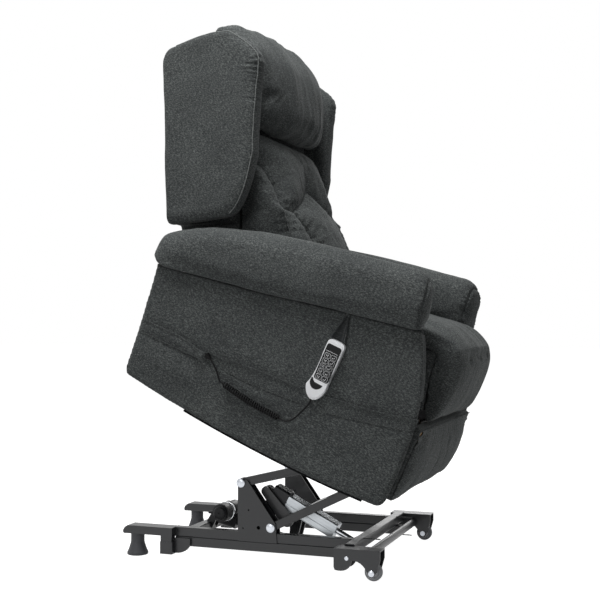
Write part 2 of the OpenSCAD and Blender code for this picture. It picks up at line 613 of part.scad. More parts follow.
// Hinge plates of the back with their bolts, the hinge tube and the lever of the recline drive
module back_hinge() color(steel) in_chair() {
    for (s = [-1, 1]) side(s) {
        lever(back_pivot, [692, 290], 16, 13, rail_half + 3, rail_half + 8);
        translate([rail_half - 12, 678, 299.6]) cube([26, 150, 4]);
        plate([[680, 276], [704, 276], [760, 303], [679, 303]], rail_half + 3, rail_half + 8);
        pin(back_pivot, rail_in - 2, rail_half + 5, 6);
        dome(back_pivot, rail_half + 8, 11, 5);
    }
    pin(back_pivot, -rail_in + 1, rail_in - 1, 11);
    for (x = [-16, 11]) lever(back_pivot, recline_head, 14, 10, recline_x + x, recline_x + x + 5);
    pin(recline_head, recline_x - 13, recline_x + 13, 4.5);
}

// Distance from a point to a seam, both in the plane of the back [x, w]
function seam_dist(p, a, b) = let (t = max(0, min(1, ((p - a) * (b - a)) / ((b - a) * (b - a)))))
    norm(p - a - t * (b - a));
seams = [[[300, 744], [246, 724]], [[246, 724], [234, 690]], [[234, 690], [238, 640]], [[238, 640],
    [250, 540]],
    [[0, 704], [105, 669]], [[105, 669], [190, 640]], [[190, 640], [238, 640]], [[190, 640], [150, 590]],
    [[150, 590], [128, 450]]];
// How full the cushion stands over its seams: sharp valleys, round lobes
function fullness(x, w) = let (d = min([for (s = seams) seam_dist([abs(x), w], s[0], s[1])]))
    36 * (1 - exp(-d / 30));
// Half width of the cushion: it fits between the arms and spreads out above them
function back_half(w) = lookup(w, [[560, 256], [590, 262], [625, 286], [660, 292], [806, 294]]);

// Back cushion: overstuffed and sewn in a diamond, so that one large lobe lies over two side
// lobes and a lower centre lobe
module back_cushion() color(cloth) in_chair() {
    count = 34;
    face_line = [[456, 516], [462, 502], [480, 486], [510, 490], [560, 514], [620, 575], [680, 643],
        [727, 700],
        [767, 742], [795, 782], [806, 806]];
    levels = [456, 459, 466, 480, 495, 510, 524, 538, 552, 566, 580, 594, 608, 622, 636, 650, 664, 678,
        692, 706, 720,
        734, 748, 762, 776, 790, 800, 806];
    loft([for (k = [0:count]) let (v = -1 + 2 * k / count, e = pow(abs(v), 3.2))
        concat([for (w = levels) let (x = v * back_half(w), u = lookup(w, face_line))
                [x, min(back_line(w) - 8, u + (u < 600 ? 52 : 74) * e - fullness(x, w) + 6), w]],
            [[v * 294, back_line(806) - 1, 806], [v * 286, back_line(640) - 1, 640],
                [v * 256, back_line(560) - 1, 560], [v * 256, back_line(456) - 1, 456]])]);
}

// Head pillow: full roll that hangs over the cushion below and folds back over the top rail
module head_pillow() color(cloth) in_chair() {
    stations = [1, 0.985, 0.93, 0.82, 0.64, 0.4, 0.14];
    xs = concat([for (s = stations) -s], [for (i = [len(stations) - 1:-1:0]) stations[i]]);
    outline = concat([[back_line(1001) - 1, 1001.5], [back_line(900) - 1, 900], [back_line(822) - 1,
        824], [812, 822]],
        curve([780, 823], [754, 824], [742, 842], [748, 872], 4),
        curve([756, 900], [784, 950], [808, 993], [844, 1030], 5),
        curve([874, 1058], [920, 1086], [985, 1094], [1020, 1086], 5),
        curve([1040, 1078], [1056, 1056], [1062, 1028], [1064, 1002], 4));
    loft([for (x = xs) [for (p = outline) let (e = pow(abs(x), 3.4),
            lift = max(0, (p[1] - 1002) / 98), push = p[0] < back_line(p[1]) - 2 ? min(1, max(0,
                (1075 - p[1]) / 60)) : 0)
        [x * 294, p[0] + e * 76 * push * min(1, (back_line(p[1]) - p[0]) / 120) + e * 34 * lift,
            p[1] - e * 44 * lift]]]);
}

// Wing: padded board with rounded edges, cut away to clear the arm
module wing(s) color(cloth) in_chair() side(s) {
    outline = concat(curve([915, 456], [860, 482], [800, 512], [752, 542], 3),
        curve([730, 556], [716, 580], [714, 620], [722, 680], 4),
        curve([736, 750], [770, 820], [800, 910], [822, 975], 4),
        curve([834, 1005], [850, 1030], [890, 1040], [930, 1046], 4),
        curve([960, 1052], [1010, 1048], [1060, 1002], [1108, 952], 4),
        curve([1122, 938], [1134, 925], [1134, 905], [1126, 886], 3), [[1020, 668], [922, 462]]);
    centre = [930, 780];
    layers = [[0, 0.955], [3, 0.975], [10, 1], [wing_t / 2, 1.004], [wing_t - 10, 1], [wing_t - 3,
        0.975], [wing_t, 0.955]];
    loft([for (l = layers) [for (p = outline) let (q = centre + (p - centre) * l[1])
        [wing_half - wing_t + l[0], q[0], q[1]]]]);
}

// ---------------------------------------------------------------- handset and its cord
hand_x = -panel_half;           // back of the handset
hand_t = 19;
key_pitch = [19, 16];
key_first = [270.5, 319];
// Shell: flat back, rounded head and a swelling lower end that tapers to the cord
hand_outline = concat(curve([254, 352], [254, 362], [260, 366], [270, 366], 4), curve([291, 366], [300,
    366], [306, 362], [306, 352], 4),
    curve([306, 320], [304, 290], [305, 262], [310, 240], 5), curve([316, 222], [312, 204], [300, 192],
        [290, 188], 5),
    [[280, 188]], curve([272, 192], [258, 206], [254, 224], [256, 240], 5), curve([257, 262], [254,
        290], [254, 320], [254, 340], 4));
module handset_shell() color([0.70, 0.71, 0.72]) in_chair() difference() {
    union() {
        plate(hand_outline, hand_x - hand_t + 3, hand_x);
        plate([for (p = hand_outline) [280, 278] + 0.93 * (p - [280, 278])], hand_x - hand_t,
            hand_x - hand_t + 3);
    }
    translate([hand_x - hand_t - 1, 280, 299]) rotate([90, 0,
        90]) linear_extrude(2.6) polygon(round_rect(45.4, 106.4, 7));
    for (k = [0:9]) key_block(k, hand_x - hand_t - 1, hand_x - hand_t + 6, 0.4);
}

// Button k: five rows of two
module key_block(k, x0, x1, grow) {
    at = key_first + [(k % 2) * key_pitch[0], -floor(k / 2) * key_pitch[1]];
    translate([x0, at[0], at[1]]) rotate([90, 0, 90]) linear_extrude(x1 - x0)
        polygon(round_rect(14.5 + 2 * grow, 11 + 2 * grow, 2 + grow));
}

// Dark key plate let into the shell
module handset_face() color([0.10, 0.10, 0.11]) in_chair() difference() {
    translate([hand_x - hand_t + 0.2, 280, 299]) rotate([90, 0,
        90]) linear_extrude(1.4) polygon(round_rect(45, 106, 6.8));
    for (k = [0:9]) key_block(k, hand_x - hand_t - 1, hand_x - hand_t + 6, 0.4);
}

module button(k) color([0.16, 0.16, 0.17]) in_chair()
    key_block(k, hand_x - hand_t - 1.4, hand_x - hand_t + 4, 0);

// Cord route along the side panel, in chair coordinates [x, u, w]
cord_x = -panel_half - 9;
exit_at = [cord_x, 612, 158];
grommet_dir = unit([0, -22, -10]);
curls_from = [cord_x, 551, 112];
curls_to = [cord_x, 344, 97];
curl_axis = unit(curls_to - curls_from);
wall_route = [exit_at, exit_at + 5 * grommet_dir, [cord_x, 600, 152], [cord_x, 592, 147], [cord_x, 584,
    141], [cord_x, 576, 134],
    [cord_x, 569, 126], [cord_x, 563, 119], curls_from - cord_d * curl_axis, curls_from];
handset_route = [curls_to, curls_to + cord_d * curl_axis, [cord_x, 334, 97.5], [cord_x, 329, 98.5],
    [cord_x, 324, 101], [cord_x, 317, 106], [cord_x, 311, 113],
    [cord_x, 306, 121], [cord_x, 302, 130], [cord_x, 298, 140], [cord_x, 294, 150], [cord_x, 290, 160],
        [cord_x, 287, 169],
    [cord_x, 285, 178], [cord_x, 285, 188]];

// Curls: one helix on the line between both ends, growing out of and back into that line
curl_steps = 8 * curl_count;
curl_r = (curl_d - cord_d) / 2;
curl_up = unit(cross([1, 0, 0], curl_axis));
curl_lead = cord_d + 1;
curl_run = norm(curls_to - curls_from) - 2 * curl_lead;
curl_sag = 5;
curl_route = concat([curls_from, curls_from + cord_d * curl_axis],
    [for (i = [0:curl_steps]) let (t = i / curl_steps, a = i * 45,
            r = curl_r * min(1, (i + 0.6) / 6, (curl_steps - i + 0.6) / 6))
        curls_from + (curl_lead + t * curl_run) * curl_axis + r * (cos(a) * curl_up + sin(a) * [1, 0, 0])
            - [0, 0, curl_sag * sin(180 * t)]],
    [curls_to - cord_d * curl_axis, curls_to]);
curl_gap = min([for (i = [0:len(curl_route) - 1]) for (j = [i + 5:1:min(i + 20, len(curl_route) - 1)])
    norm(curl_route[i] - curl_route[j])]) - cord_d;
echo(str("least gap between the curls: ", curl_gap, " mm"));

module cord_curls() color(rubber) in_chair() tube(curl_route, cord_d, 6);
module cord_wall_lead() color(rubber) in_chair() tube(wall_route, cord_d, 8);
module cord_handset_lead() color(rubber) in_chair() tube(handset_route, cord_d, 8);

// Strain relief where the cord comes out of the side panel
module cord_grommet() color(rubber) in_chair()
    translate(exit_at - 16 * grommet_dir) rotate([atan2(grommet_dir[2], grommet_dir[1]), 0, 0])
        rotate([-90, 0, 0]) cylinder(r1 = 9.2, r2 = 4, h = 16);

// ---------------------------------------------------------------- the assembly
rail(1);  // rail_left
rail(-1);  // rail_right
front_cross_tube();
rear_cross_tube();
upright(1);  // upright_left
upright(-1);  // upright_right
castor_bracket(1);  // castor_bracket_left
castor_bracket(-1);  // castor_bracket_right
foot(1);  // foot_left
foot(-1);  // foot_right
base_bolts();
castor_wheel(1);  // castor_wheel_left
castor_wheel(-1);  // castor_wheel_right
lift_arm(1);  // lift_arm_left
lift_arm(-1);  // lift_arm_right
lift_torque_tube();
upper_link(1, true);  // upper_link_left
upper_link(-1, false);  // upper_link_right
front_drive_housing();
front_drive_tube();
front_drive_rod();
rear_drive_housing();
rear_drive_rod();
seat_rail(1);  // seat_rail_left
seat_rail(-1);  // seat_rail_right
seat_cross_tubes();
side_panel(1);  // side_panel_left
side_panel(-1);  // side_panel_right
arm_pad(1);  // arm_pad_left
arm_pad(-1);  // arm_pad_right
seat_cushion();
recline_drive();
recline_rod();
legrest_drive();
legrest_inner_links();
legrest_outer_links();
legrest_board();
legrest_pad();
back_frame();
back_hinge();
back_cushion();
head_pillow();
wing(1);  // wing_left
wing(-1);  // wing_right
handset_shell();
handset_face();
cord_grommet();
cord_wall_lead();
cord_curls();
cord_handset_lead();
for (k = [1:10]) button(k - 1);
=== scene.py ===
"""Lift recliner chair: fabric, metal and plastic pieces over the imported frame."""

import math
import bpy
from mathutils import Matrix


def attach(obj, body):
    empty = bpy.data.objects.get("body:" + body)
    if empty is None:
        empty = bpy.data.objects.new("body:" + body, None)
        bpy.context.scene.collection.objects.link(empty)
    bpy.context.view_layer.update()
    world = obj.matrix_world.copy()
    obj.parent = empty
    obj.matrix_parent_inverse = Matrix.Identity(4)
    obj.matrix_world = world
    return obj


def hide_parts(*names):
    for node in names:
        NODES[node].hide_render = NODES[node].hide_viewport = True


bl_info = {
    "name": "Lift recliner chair",
    "version": (1, 0, 0),
    "blender": (4, 5, 0),
    "location": "View3D > Sidebar > Chair",
    "description": "Makes the finished pieces of a lift recliner chair over its frame",
    "category": "Object",
}

import bmesh
import bpy
import numpy as np
from mathutils import Vector, kdtree, noise
from mathutils.bvhtree import BVHTree

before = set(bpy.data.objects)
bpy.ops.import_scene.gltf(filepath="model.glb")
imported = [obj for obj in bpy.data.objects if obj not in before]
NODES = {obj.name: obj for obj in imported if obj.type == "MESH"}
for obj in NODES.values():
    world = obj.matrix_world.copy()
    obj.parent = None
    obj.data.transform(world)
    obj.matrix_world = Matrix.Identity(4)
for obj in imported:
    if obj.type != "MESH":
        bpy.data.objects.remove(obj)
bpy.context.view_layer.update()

MM = 0.001
TILT = math.radians(24.4)
COS_T, SIN_T = math.cos(TILT), math.sin(TILT)
DATUM_Y = 27.8                      # shift of the frame datum that centres the chair
CORNER_Y, CORNER_Z = -341, 219      # lower front corner of the side panels, where u and w are zero
ACROSS = Vector((1, 0, 0))
REARWARD = Vector((0, COS_T, SIN_T))


# ------------------------------------------------------------------ places
def chair(x, u, w):
    """Point of the tipped chair body: x across, u rearward, w upward, in mm."""
    return Vector((x, DATUM_Y + CORNER_Y + u * COS_T - w * SIN_T, CORNER_Z + u * SIN_T + w * COS_T)) * MM


def base(x, y, z):
    """Point of the lift base, in mm."""
    return Vector((x, y + DATUM_Y, z)) * MM


def in_chair(co):
    """Array of points in metres turned into x, u, w in mm."""
    y = co[:, 1] / MM - DATUM_Y - CORNER_Y
    z = co[:, 2] / MM - CORNER_Z
    return np.column_stack((co[:, 0] / MM, y * COS_T + z * SIN_T, z * COS_T - y * SIN_T))


def curve(a, b, c, d, n=12):
    """Points along a cubic curve in side view."""
    out = []
    for i in range(n + 1):
        t = i / n
        s = 1 - t
        out.append(tuple(s ** 3 * p + 3 * s * s * t * q + 3 * s * t * t * r + t ** 3 * e
                         for p, q, r, e in zip(a, b, c, d)))
    return out


def smooth_line(points, n=4, closed=False):
    """Rounded line through the given points."""
    out = []
    m = len(points)
    for i in range(m if closed else m - 1):
        p = [points[(i + k) % m] if closed else points[min(max(i + k, 0), m - 1)] for k in (-1, 0, 1, 2)]
        for j in range(n):
            t = j / n
            out.append(tuple(0.5 * (2 * b + (c - a) * t + (2 * a - 5 * b + 4 * c - d) * t * t
                                    + (3 * b - 3 * c + d - a) * t ** 3)
                             for a, b, c, d in zip(*p)))
    if not closed:
        out.append(tuple(points[-1]))
    return out


def lookup(value, table):
    """Value read between the rows of a table of places and values."""
    return float(np.interp(value, [row[0] for row in table], [row[1] for row in table]))


def clamp(value):
    return min(1, max(0, value))


def mirrored(half):
    """Stations from side to side, from one half of them that ends in the middle."""
    return [-v for v in half[:-1]] + half[::-1]


def both_halves(half, middle):
    """Profile from side to side, from one half of it and its middle point."""
    return half + [middle] + [(-x, w) for x, w in half[::-1]]


# ------------------------------------------------------------------ meshes
def link(name, mesh):
    made = bpy.data.objects.new(name, mesh)
    bpy.context.scene.collection.objects.link(made)
    return made


def new_mesh(name, points, faces=(), edges=()):
    mesh = bpy.data.meshes.new(name)
    mesh.from_pydata([tuple(p) for p in points], list(edges), [tuple(f) for f in faces])
    mesh.update()
    return link(name, mesh)


def outward(piece):
    """Turns the faces outward."""
    work = bmesh.new()
    work.from_mesh(piece.data)
    bmesh.ops.remove_doubles(work, verts=work.verts, dist=1e-6)
    bmesh.ops.recalc_face_normals(work, faces=work.faces)
    work.to_mesh(piece.data)
    work.free()
    return piece


def ring_form(name, rings):
    """Closed skin over rings of points with the same count."""
    n, m = len(rings[0]), len(rings)
    points = [p for ring in rings for p in ring]
    faces = [(j * n + i, j * n + (i + 1) % n, (j + 1) * n + (i + 1) % n, (j + 1) * n + i)
             for j in range(m - 1) for i in range(n)]
    for start, order in ((0, -1), ((m - 1) * n, 1)):
        middle = sum((Vector(points[start + i]) for i in range(n)), Vector()) / n
        points.append(middle)
        faces += [(len(points) - 1, start + i, start + (i + 1) % n)[::order] for i in range(n)]
    return outward(new_mesh(name, points, faces))


def node_copy(name, node):
    """Copy of a frame node with its loose triangles joined."""
    made = link(name, NODES[node].data.copy())
    made.data.materials.clear()
    work = bmesh.new()
    work.from_mesh(made.data)
    bmesh.ops.remove_doubles(work, verts=work.verts, dist=1e-5)
    work.to_mesh(made.data)
    work.free()
    return made


def bake(piece):
    """Applies all modifiers."""
    graph = bpy.context.evaluated_depsgraph_get()
    mesh = bpy.data.meshes.new_from_object(piece.evaluated_get(graph))
    piece.modifiers.clear()
    old = piece.data
    piece.data = mesh
    if old.users == 0:
        bpy.data.meshes.remove(old)
    return piece


def soften(piece, voxel, passes=4, factor=0.5):
    """Even skin of small faces, with the hard edges relaxed."""
    shell = piece.modifiers.new("skin", "REMESH")
    shell.mode = "VOXEL"
    shell.voxel_size = voxel
    shell.adaptivity = 0
    bake(piece)
    if passes:
        relax = piece.modifiers.new("relax", "SMOOTH")
        relax.iterations = passes
        relax.factor = factor
        bake(piece)
    return piece


def subdivide(piece, levels=1):
    fine = piece.modifiers.new("fine", "SUBSURF")
    fine.levels = fine.render_levels = levels
    return bake(piece)


def thicken(piece, thickness):
    """Gives a sheet its thickness on the inner side, at the next bake."""
    thick = piece.modifiers.new("cloth", "SOLIDIFY")
    thick.thickness = thickness
    thick.offset = -1


def points_of(piece):
    co = np.empty(len(piece.data.vertices) * 3, dtype=np.float32)
    piece.data.vertices.foreach_get("co", co)
    return co.reshape(-1, 3).astype(np.float64)


def normals_of(piece):
    out = np.empty(len(piece.data.vertices) * 3, dtype=np.float32)
    piece.data.vertex_normals.foreach_get("vector", out)
    return out.reshape(-1, 3).astype(np.float64)


def set_points(piece, co):
    piece.data.vertices.foreach_set("co", np.asarray(co, dtype=np.float32).ravel())
    piece.data.update()


def shade(piece, material, smooth=True):
    piece.data.materials.clear()
    piece.data.materials.append(material)
    piece.data.polygons.foreach_set("use_smooth", [smooth] * len(piece.data.polygons))
    piece.data.update()
    return piece


def fill(piece, cap, held=None, pressure=4.0, slack=0.0, stiff=8.0):
    """Swells the cover with stuffing; held marks the points that are sewn or backed."""
    shape = points_of(piece)
    free = np.ones(len(shape)) if held is None else 1.0 - held
    before = shape - normals_of(piece) * (0.5 * cap * free)[:, None]
    set_points(piece, before)
    if held is not None:
        marked = np.nonzero(held)[0]
        group = piece.vertex_groups.new(name="held")
        group.add([int(i) for i in marked], 1.0, "REPLACE")
    cloth = piece.modifiers.new("stuffing", "CLOTH")
    values = cloth.settings
    values.quality = 5
    values.mass = 0.3
    values.tension_stiffness = values.compression_stiffness = stiff
    values.shear_stiffness = stiff / 2
    values.bending_stiffness = 0.4
    values.use_pressure = True
    values.uniform_pressure_force = pressure
    values.effector_weights.gravity = 0
    values.shrink_min = -slack
    if held is not None:
        values.vertex_group_mass = "held"
    cloth.collision_settings.use_collision = False
    cloth.point_cache.frame_start = 1
    cloth.point_cache.frame_end = 20
    scene = bpy.context.scene
    for step in range(1, 21):
        scene.frame_set(step)
    bake(piece)
    scene.frame_set(1)
    piece.vertex_groups.clear()
    after = points_of(piece)
    move = after - before
    size = np.linalg.norm(move, axis=1)
    factor = np.where(size > cap, cap / np.maximum(size, 1e-9), 1.0)
    set_points(piece, before + move * factor[:, None])
    return piece


def seam_samples(routes, step=0.004):
    """Points along the seams with their run length."""
    at, run = [], []
    for number, route in enumerate(routes):
        length = 1.7 * number
        for a, b in zip(route, route[1:]):
            a, b = Vector(a), Vector(b)
            count = max(1, int((b - a).length / step))
            for i in range(count):
                at.append(a.lerp(b, i / count))
                run.append(length + (b - a).length * i / count)
            length += (b - a).length
        at.append(Vector(route[-1]))
        run.append(length)
    return at, np.array(run)


def near_seam(piece, routes, reach=None):
    """Distance of each point from the nearest seam, and the run length there."""
    at, run = seam_samples(routes)
    tree = kdtree.KDTree(len(at))
    for i, p in enumerate(at):
        tree.insert(p, i)
    tree.balance()
    far = np.empty(len(piece.data.vertices))
    along = np.empty(len(far))
    for i, v in enumerate(piece.data.vertices):
        _, k, d = tree.find(v.co)
        far[i] = d
        along[i] = run[k]
    return far, along


def draw_seam(piece, routes, depth, width, fold=0.0, pitch=0.02, reach=0.04, phase=0.0):
    """Pulls the cover in along its seams, with short folds running away from them."""
    far, along = near_seam(piece, routes)
    co, no = points_of(piece), normals_of(piece)
    wander = np.array([noise.noise((a * 14, phase, 3.1)) for a in along])
    ripple = np.cos(2 * math.pi * along / pitch + 5 * wander)
    move = -depth * np.exp(-(far / width) ** 2)
    move += fold * ripple * (0.6 + wander) * np.exp(-far / reach) * (1 - np.exp(-far / 0.004))
    set_points(piece, co + no * move[:, None])
    return piece


def crumple(piece, amount, size, stretch=(1, 1, 1), seed=0.0, mask=None):
    """Soft unevenness of a stretched cover."""
    co, no = points_of(piece), normals_of(piece)
    local = in_chair(co) * MM / size / np.array(stretch)
    value = np.array([noise.fractal((p[0] + seed, p[1], p[2]), 0.8, 2.0, 3) for p in local])
    if mask is not None:
        value = value * mask
    set_points(piece, co + no * (amount * value)[:, None])
    return piece


def onto(surface, route, lift=0.0):
    """Lays the points of a route on a surface."""
    tree = BVHTree.FromObject(surface, bpy.context.evaluated_depsgraph_get())
    out = []
    for p in route:
        at, normal, _, _ = tree.find_nearest(Vector(p))
        out.append(at + normal * lift)
    return out


def dense(route, step=0.004):
    """The same route with evenly close points."""
    out = []
    for a, b in zip(route, route[1:]):
        a, b = Vector(a), Vector(b)
        count = max(1, round((b - a).length / step))
        out += [a.lerp(b, i / count) for i in range(count)]
    return out + [Vector(route[-1])]


# ------------------------------------------------------------------ node trees
def add(tree, kind, settings=None, **inputs):
    """Adds one node with its settings; an input is a value or another node's output."""
    made = tree.nodes.new(kind)
    for key, value in (settings or {}).items():
        setattr(made, key, value)
    for key, value in inputs.items():
        name = key.strip("_").replace("_", " ")
        slot = made.inputs[int(name[1:])] if name[0] == "n" and name[1:].isdigit() else made.inputs[name]
        if isinstance(value, bpy.types.NodeSocket):
            tree.links.new(value, slot)
        else:
            slot.default_value = value
    return made


def linear(code):
    """sRGB hex colour as linear RGBA."""
    parts = [int(code[i:i + 2], 16) / 255 for i in (1, 3, 5)]
    return tuple(c / 12.92 if c <= 0.04045 else ((c + 0.055) / 1.055) ** 2.4 for c in parts) + (1.0,)


def finish_tree(name):
    """Empty material tree with its shader and its place coordinates."""
    material = bpy.data.materials.new(name)
    material.use_nodes = True
    tree = material.node_tree
    tree.nodes.clear()
    shader = add(tree, "ShaderNodeBsdfPrincipled")
    add(tree, "ShaderNodeOutputMaterial", Surface=shader.outputs[0])
    place = add(tree, "ShaderNodeTexCoord").outputs["Object"]
    return material, tree, shader, place


def woven_chenille(name, dark, ground, light, pile=0.0006, turn=-TILT):
    """Chenille upholstery cloth, woven from tufted slub yarn: short pale flecks lie along the
    yarns over a darker ground, and the pile scatters light softly at grazing angles. The yarns
    are drawn about 2.3 mm apart, coarser than real ones, so that they show."""
    material, tree, shader, place = finish_tree(name)
    laid = add(tree, "ShaderNodeMapping", Vector=place, Rotation=(turn, 0, 0)).outputs[0]
    facing = add(tree, "ShaderNodeTexCoord").outputs["Normal"]
    facing = add(tree, "ShaderNodeMapping", {"vector_type": "NORMAL"}, Vector=facing,
                 Rotation=(turn, 0, 0)).outputs[0]
    up = add(tree, "ShaderNodeSeparateXYZ", Vector=facing).outputs["Z"]
    up = add(tree, "ShaderNodeMath", {"operation": "ABSOLUTE"}, n0=up).outputs[0]
    flat = add(tree, "ShaderNodeMapRange", Value=up, From_Min=0.55, From_Max=0.8).outputs[0]
    yarns = []
    for scale in ((150, 150, 430), (150, 430, 150)):
        rows = add(tree, "ShaderNodeMapping", Vector=laid, Scale=scale).outputs[0]
        yarns.append(add(tree, "ShaderNodeTexNoise", Vector=rows, Scale=1.0, Detail=2.5,
                         Roughness=0.62).outputs[0])
    slub = add(tree, "ShaderNodeMix", {"data_type": "FLOAT"}, Factor=flat, n2=yarns[0],
               n3=yarns[1]).outputs[0]
    cross = add(tree, "ShaderNodeMapping", Vector=laid, Scale=(420, 420, 170)).outputs[0]
    cross = add(tree, "ShaderNodeTexNoise", Vector=cross, Scale=1.0, Detail=2.0, Roughness=0.6).outputs[0]
    cloth = add(tree, "ShaderNodeMix", {"data_type": "FLOAT"}, Factor=0.3, n2=slub, n3=cross).outputs[0]
    nap = add(tree, "ShaderNodeTexNoise", Vector=laid, Scale=9.0, Detail=3.0).outputs[0]
    nap = add(tree, "ShaderNodeMapRange", Value=nap, To_Min=-0.05, To_Max=0.05).outputs[0]
    level = add(tree, "ShaderNodeMath", n0=cloth, n1=nap).outputs[0]
    ramp = add(tree, "ShaderNodeValToRGB", Fac=level)
    ramp.color_ramp.elements[0].position = 0.36
    ramp.color_ramp.elements[0].color = linear(dark)
    ramp.color_ramp.elements[1].position = 0.68
    ramp.color_ramp.elements[1].color = linear(light)
    ramp.color_ramp.elements.new(0.5).color = linear(ground)
    tree.links.new(ramp.outputs[0], shader.inputs["Base Color"])
    relief = add(tree, "ShaderNodeBump", Height=cloth, Distance=pile, Strength=0.9)
    tree.links.new(relief.outputs[0], shader.inputs["Normal"])
    shader.inputs["Roughness"].default_value = 0.92
    shader.inputs["Specular IOR Level"].default_value = 0.25
    shader.inputs["Sheen Weight"].default_value = 0.12
    shader.inputs["Sheen Roughness"].default_value = 0.45
    shader.inputs["Sheen Tint"].default_value = linear("#9a9c9c")
    return material


def grained(name, colour, second, metal, rough, scale, relief, stretch=(1, 1, 1), turn=(0, 0, 0),
            spread=0.08, coat=0.0,
            gloss_level=0.5):
    """Hard surface with a fine grain in its colour, gloss and relief."""
    material, tree, shader, place = finish_tree(name)
    laid = add(tree, "ShaderNodeMapping", Vector=place, Rotation=turn).outputs[0]
    laid = add(tree, "ShaderNodeMapping", Vector=laid, Scale=stretch).outputs[0]
    fine = add(tree, "ShaderNodeTexNoise", Vector=laid, Scale=scale, Detail=3.0, Roughness=0.6).outputs[0]
    wide = add(tree, "ShaderNodeTexNoise", Vector=laid, Scale=scale / 22, Detail=2.0).outputs[0]
    both = add(tree, "ShaderNodeMix", {"data_type": "FLOAT"}, Factor=0.5, n2=fine, n3=wide).outputs[0]
    tone = add(tree, "ShaderNodeMapRange", Value=both, From_Min=0.3, From_Max=0.7).outputs[0]
    tint = add(tree, "ShaderNodeMix", {"data_type": "RGBA"}, Factor=tone, n6=linear(colour),
               n7=linear(second))
    tree.links.new(tint.outputs[2], shader.inputs["Base Color"])
    gloss = add(tree, "ShaderNodeMapRange", Value=both, From_Min=0.3, From_Max=0.7,
                To_Min=rough - spread, To_Max=rough + spread).outputs[0]
    tree.links.new(gloss, shader.inputs["Roughness"])
    bump = add(tree, "ShaderNodeBump", Height=fine, Distance=relief, Strength=0.6)
    tree.links.new(bump.outputs[0], shader.inputs["Normal"])
    shader.inputs["Metallic"].default_value = metal
    shader.inputs["Coat Weight"].default_value = coat
    shader.inputs["Specular IOR Level"].default_value = gloss_level
    return material


MATERIALS = {}


def make_materials(colours):
    m = MATERIALS
    m["cloth"] = woven_chenille("charcoal_woven_chenille", colours.cloth_dark, colours.cloth,
                                colours.cloth_light)
    # Darker copy of the chenille, laid in the recess of the handset strap as painted shade
    m["shade_cloth"] = woven_chenille("charcoal_painted_shade_chenille", "#1f2122", "#2c2e2f", "#454847")
    # Piping cord drawn paler than the cloth: painted highlight along the rolled edge of the wings
    m["piping"] = woven_chenille("charcoal_piping_cord_painted_highlight", "#4c4f4e", "#676a69", "#858887")
    # Polyester sewing thread: twisted and a little paler than the cloth, it catches the light
    m["thread"] = grained("charcoal_polyester_thread", "#5b5e5d", "#4a4d4c", 0.0, 0.6, 2400, 0.00004)
    # Powder-coated steel: sprayed and baked, a faint orange peel breaks up its satin highlights
    m["steel"] = grained("slate_powder_coated_steel", colours.steel, "#191b1e", 0.0, 0.38, 900, 0.00012,
                         coat=0.12, gloss_level=0.45)
    # Zinc-plated fastener: bright, with a slight milky cloud from the passivation
    m["zinc"] = grained("bright_zinc_plating", "#c6c9cf", "#aeb2b8", 1.0, 0.30, 500, 0.00003)
    # Ground and chromed rod: mirror-like with fine rings from the grinding wheel
    m["rod"] = grained("ground_chromed_rod", "#d4d6da", "#c2c5c9", 1.0, 0.14, 700, 0.00001)
    # Drawn aluminium profile: fine lines along its length soften the reflections
    m["aluminium"] = grained("drawn_aluminium_profile", "#b4b8bb", "#9ba0a4", 1.0, 0.38, 260, 0.00004,
                             stretch=(1, 0.06, 1), turn=(math.radians(-27.5), 0, 0))
    # Moulded ABS with spark-eroded texture: deep black with a soft, broken highlight
    m["black_abs"] = grained("moulded_black_abs", "#141517", "#1d1e21", 0.0, 0.42, 1100, 0.00008,
                             gloss_level=0.3)
    # Polished band and end cap of the motor
    m["bright"] = grained("polished_steel_band", "#dfe1e4", "#cfd2d6", 1.0, 0.18, 400, 0.00002)
    # Thermoplastic rubber tread: matt grey with scuffs from rolling
    m["tyre"] = grained("grey_tpr_tread", "#8f9194", "#a7a9ac", 0.0, 0.7, 320, 0.0001)
    # Moulded nylon rim: pale, a little glossy
    m["rim"] = grained("pale_moulded_nylon", "#c9cacd", "#b7b9bc", 0.0, 0.36, 500, 0.00004)
    # Moulded rubber foot: dull, with dust that stays in its pores
    m["foot"] = grained("moulded_foot_rubber", "#2b2c30", "#3a3b3f", 0.0, 0.66, 420, 0.0001)
    # Silver-painted ABS: fine metal flake gives it a soft metallic sheen
    m["handset"] = grained("silver_painted_abs", "#e3e4e6", "#d6d8da", 0.15, 0.34, 1600, 0.00003, coat=0.2)
    # Polycarbonate face plate: smooth and black
    m["keypad"] = grained("black_polycarbonate_plate", "#0b0c0d", "#101112", 0.0, 0.4, 900, 0.00002,
                          gloss_level=0.15)
    # Silicone keys: black, softly glossy
    m["key"] = grained("black_silicone_key", "#101113", "#161719", 0.0, 0.5, 900, 0.00003, gloss_level=0.2)
    # Pad-printed marks: opaque and slightly raised
    m["mark"] = grained("white_pad_print", "#e4e5e6", "#d6d8da", 0.0, 0.5, 900, 0.00001)
    # PVC cord jacket: extruded, smooth satin black
    m["cord"] = grained("black_pvc_jacket", "#070708", "#0b0b0c", 0.0, 0.5, 700, 0.00003, gloss_level=0.12)
    # Birch plywood: pale, with fine figure along its face veneer
    m["plywood"] = grained("birch_plywood", "#b08a5a", "#8f6b41", 0.0, 0.6, 60, 0.0001, stretch=(0.15, 1, 1))
    # Spun-bonded dust cover: thin black felt under the seat
    m["felt"] = grained("black_spunbond_cover", "#0c0d0e", "#141516", 0.0, 0.9, 500, 0.0003, gloss_level=0.1)


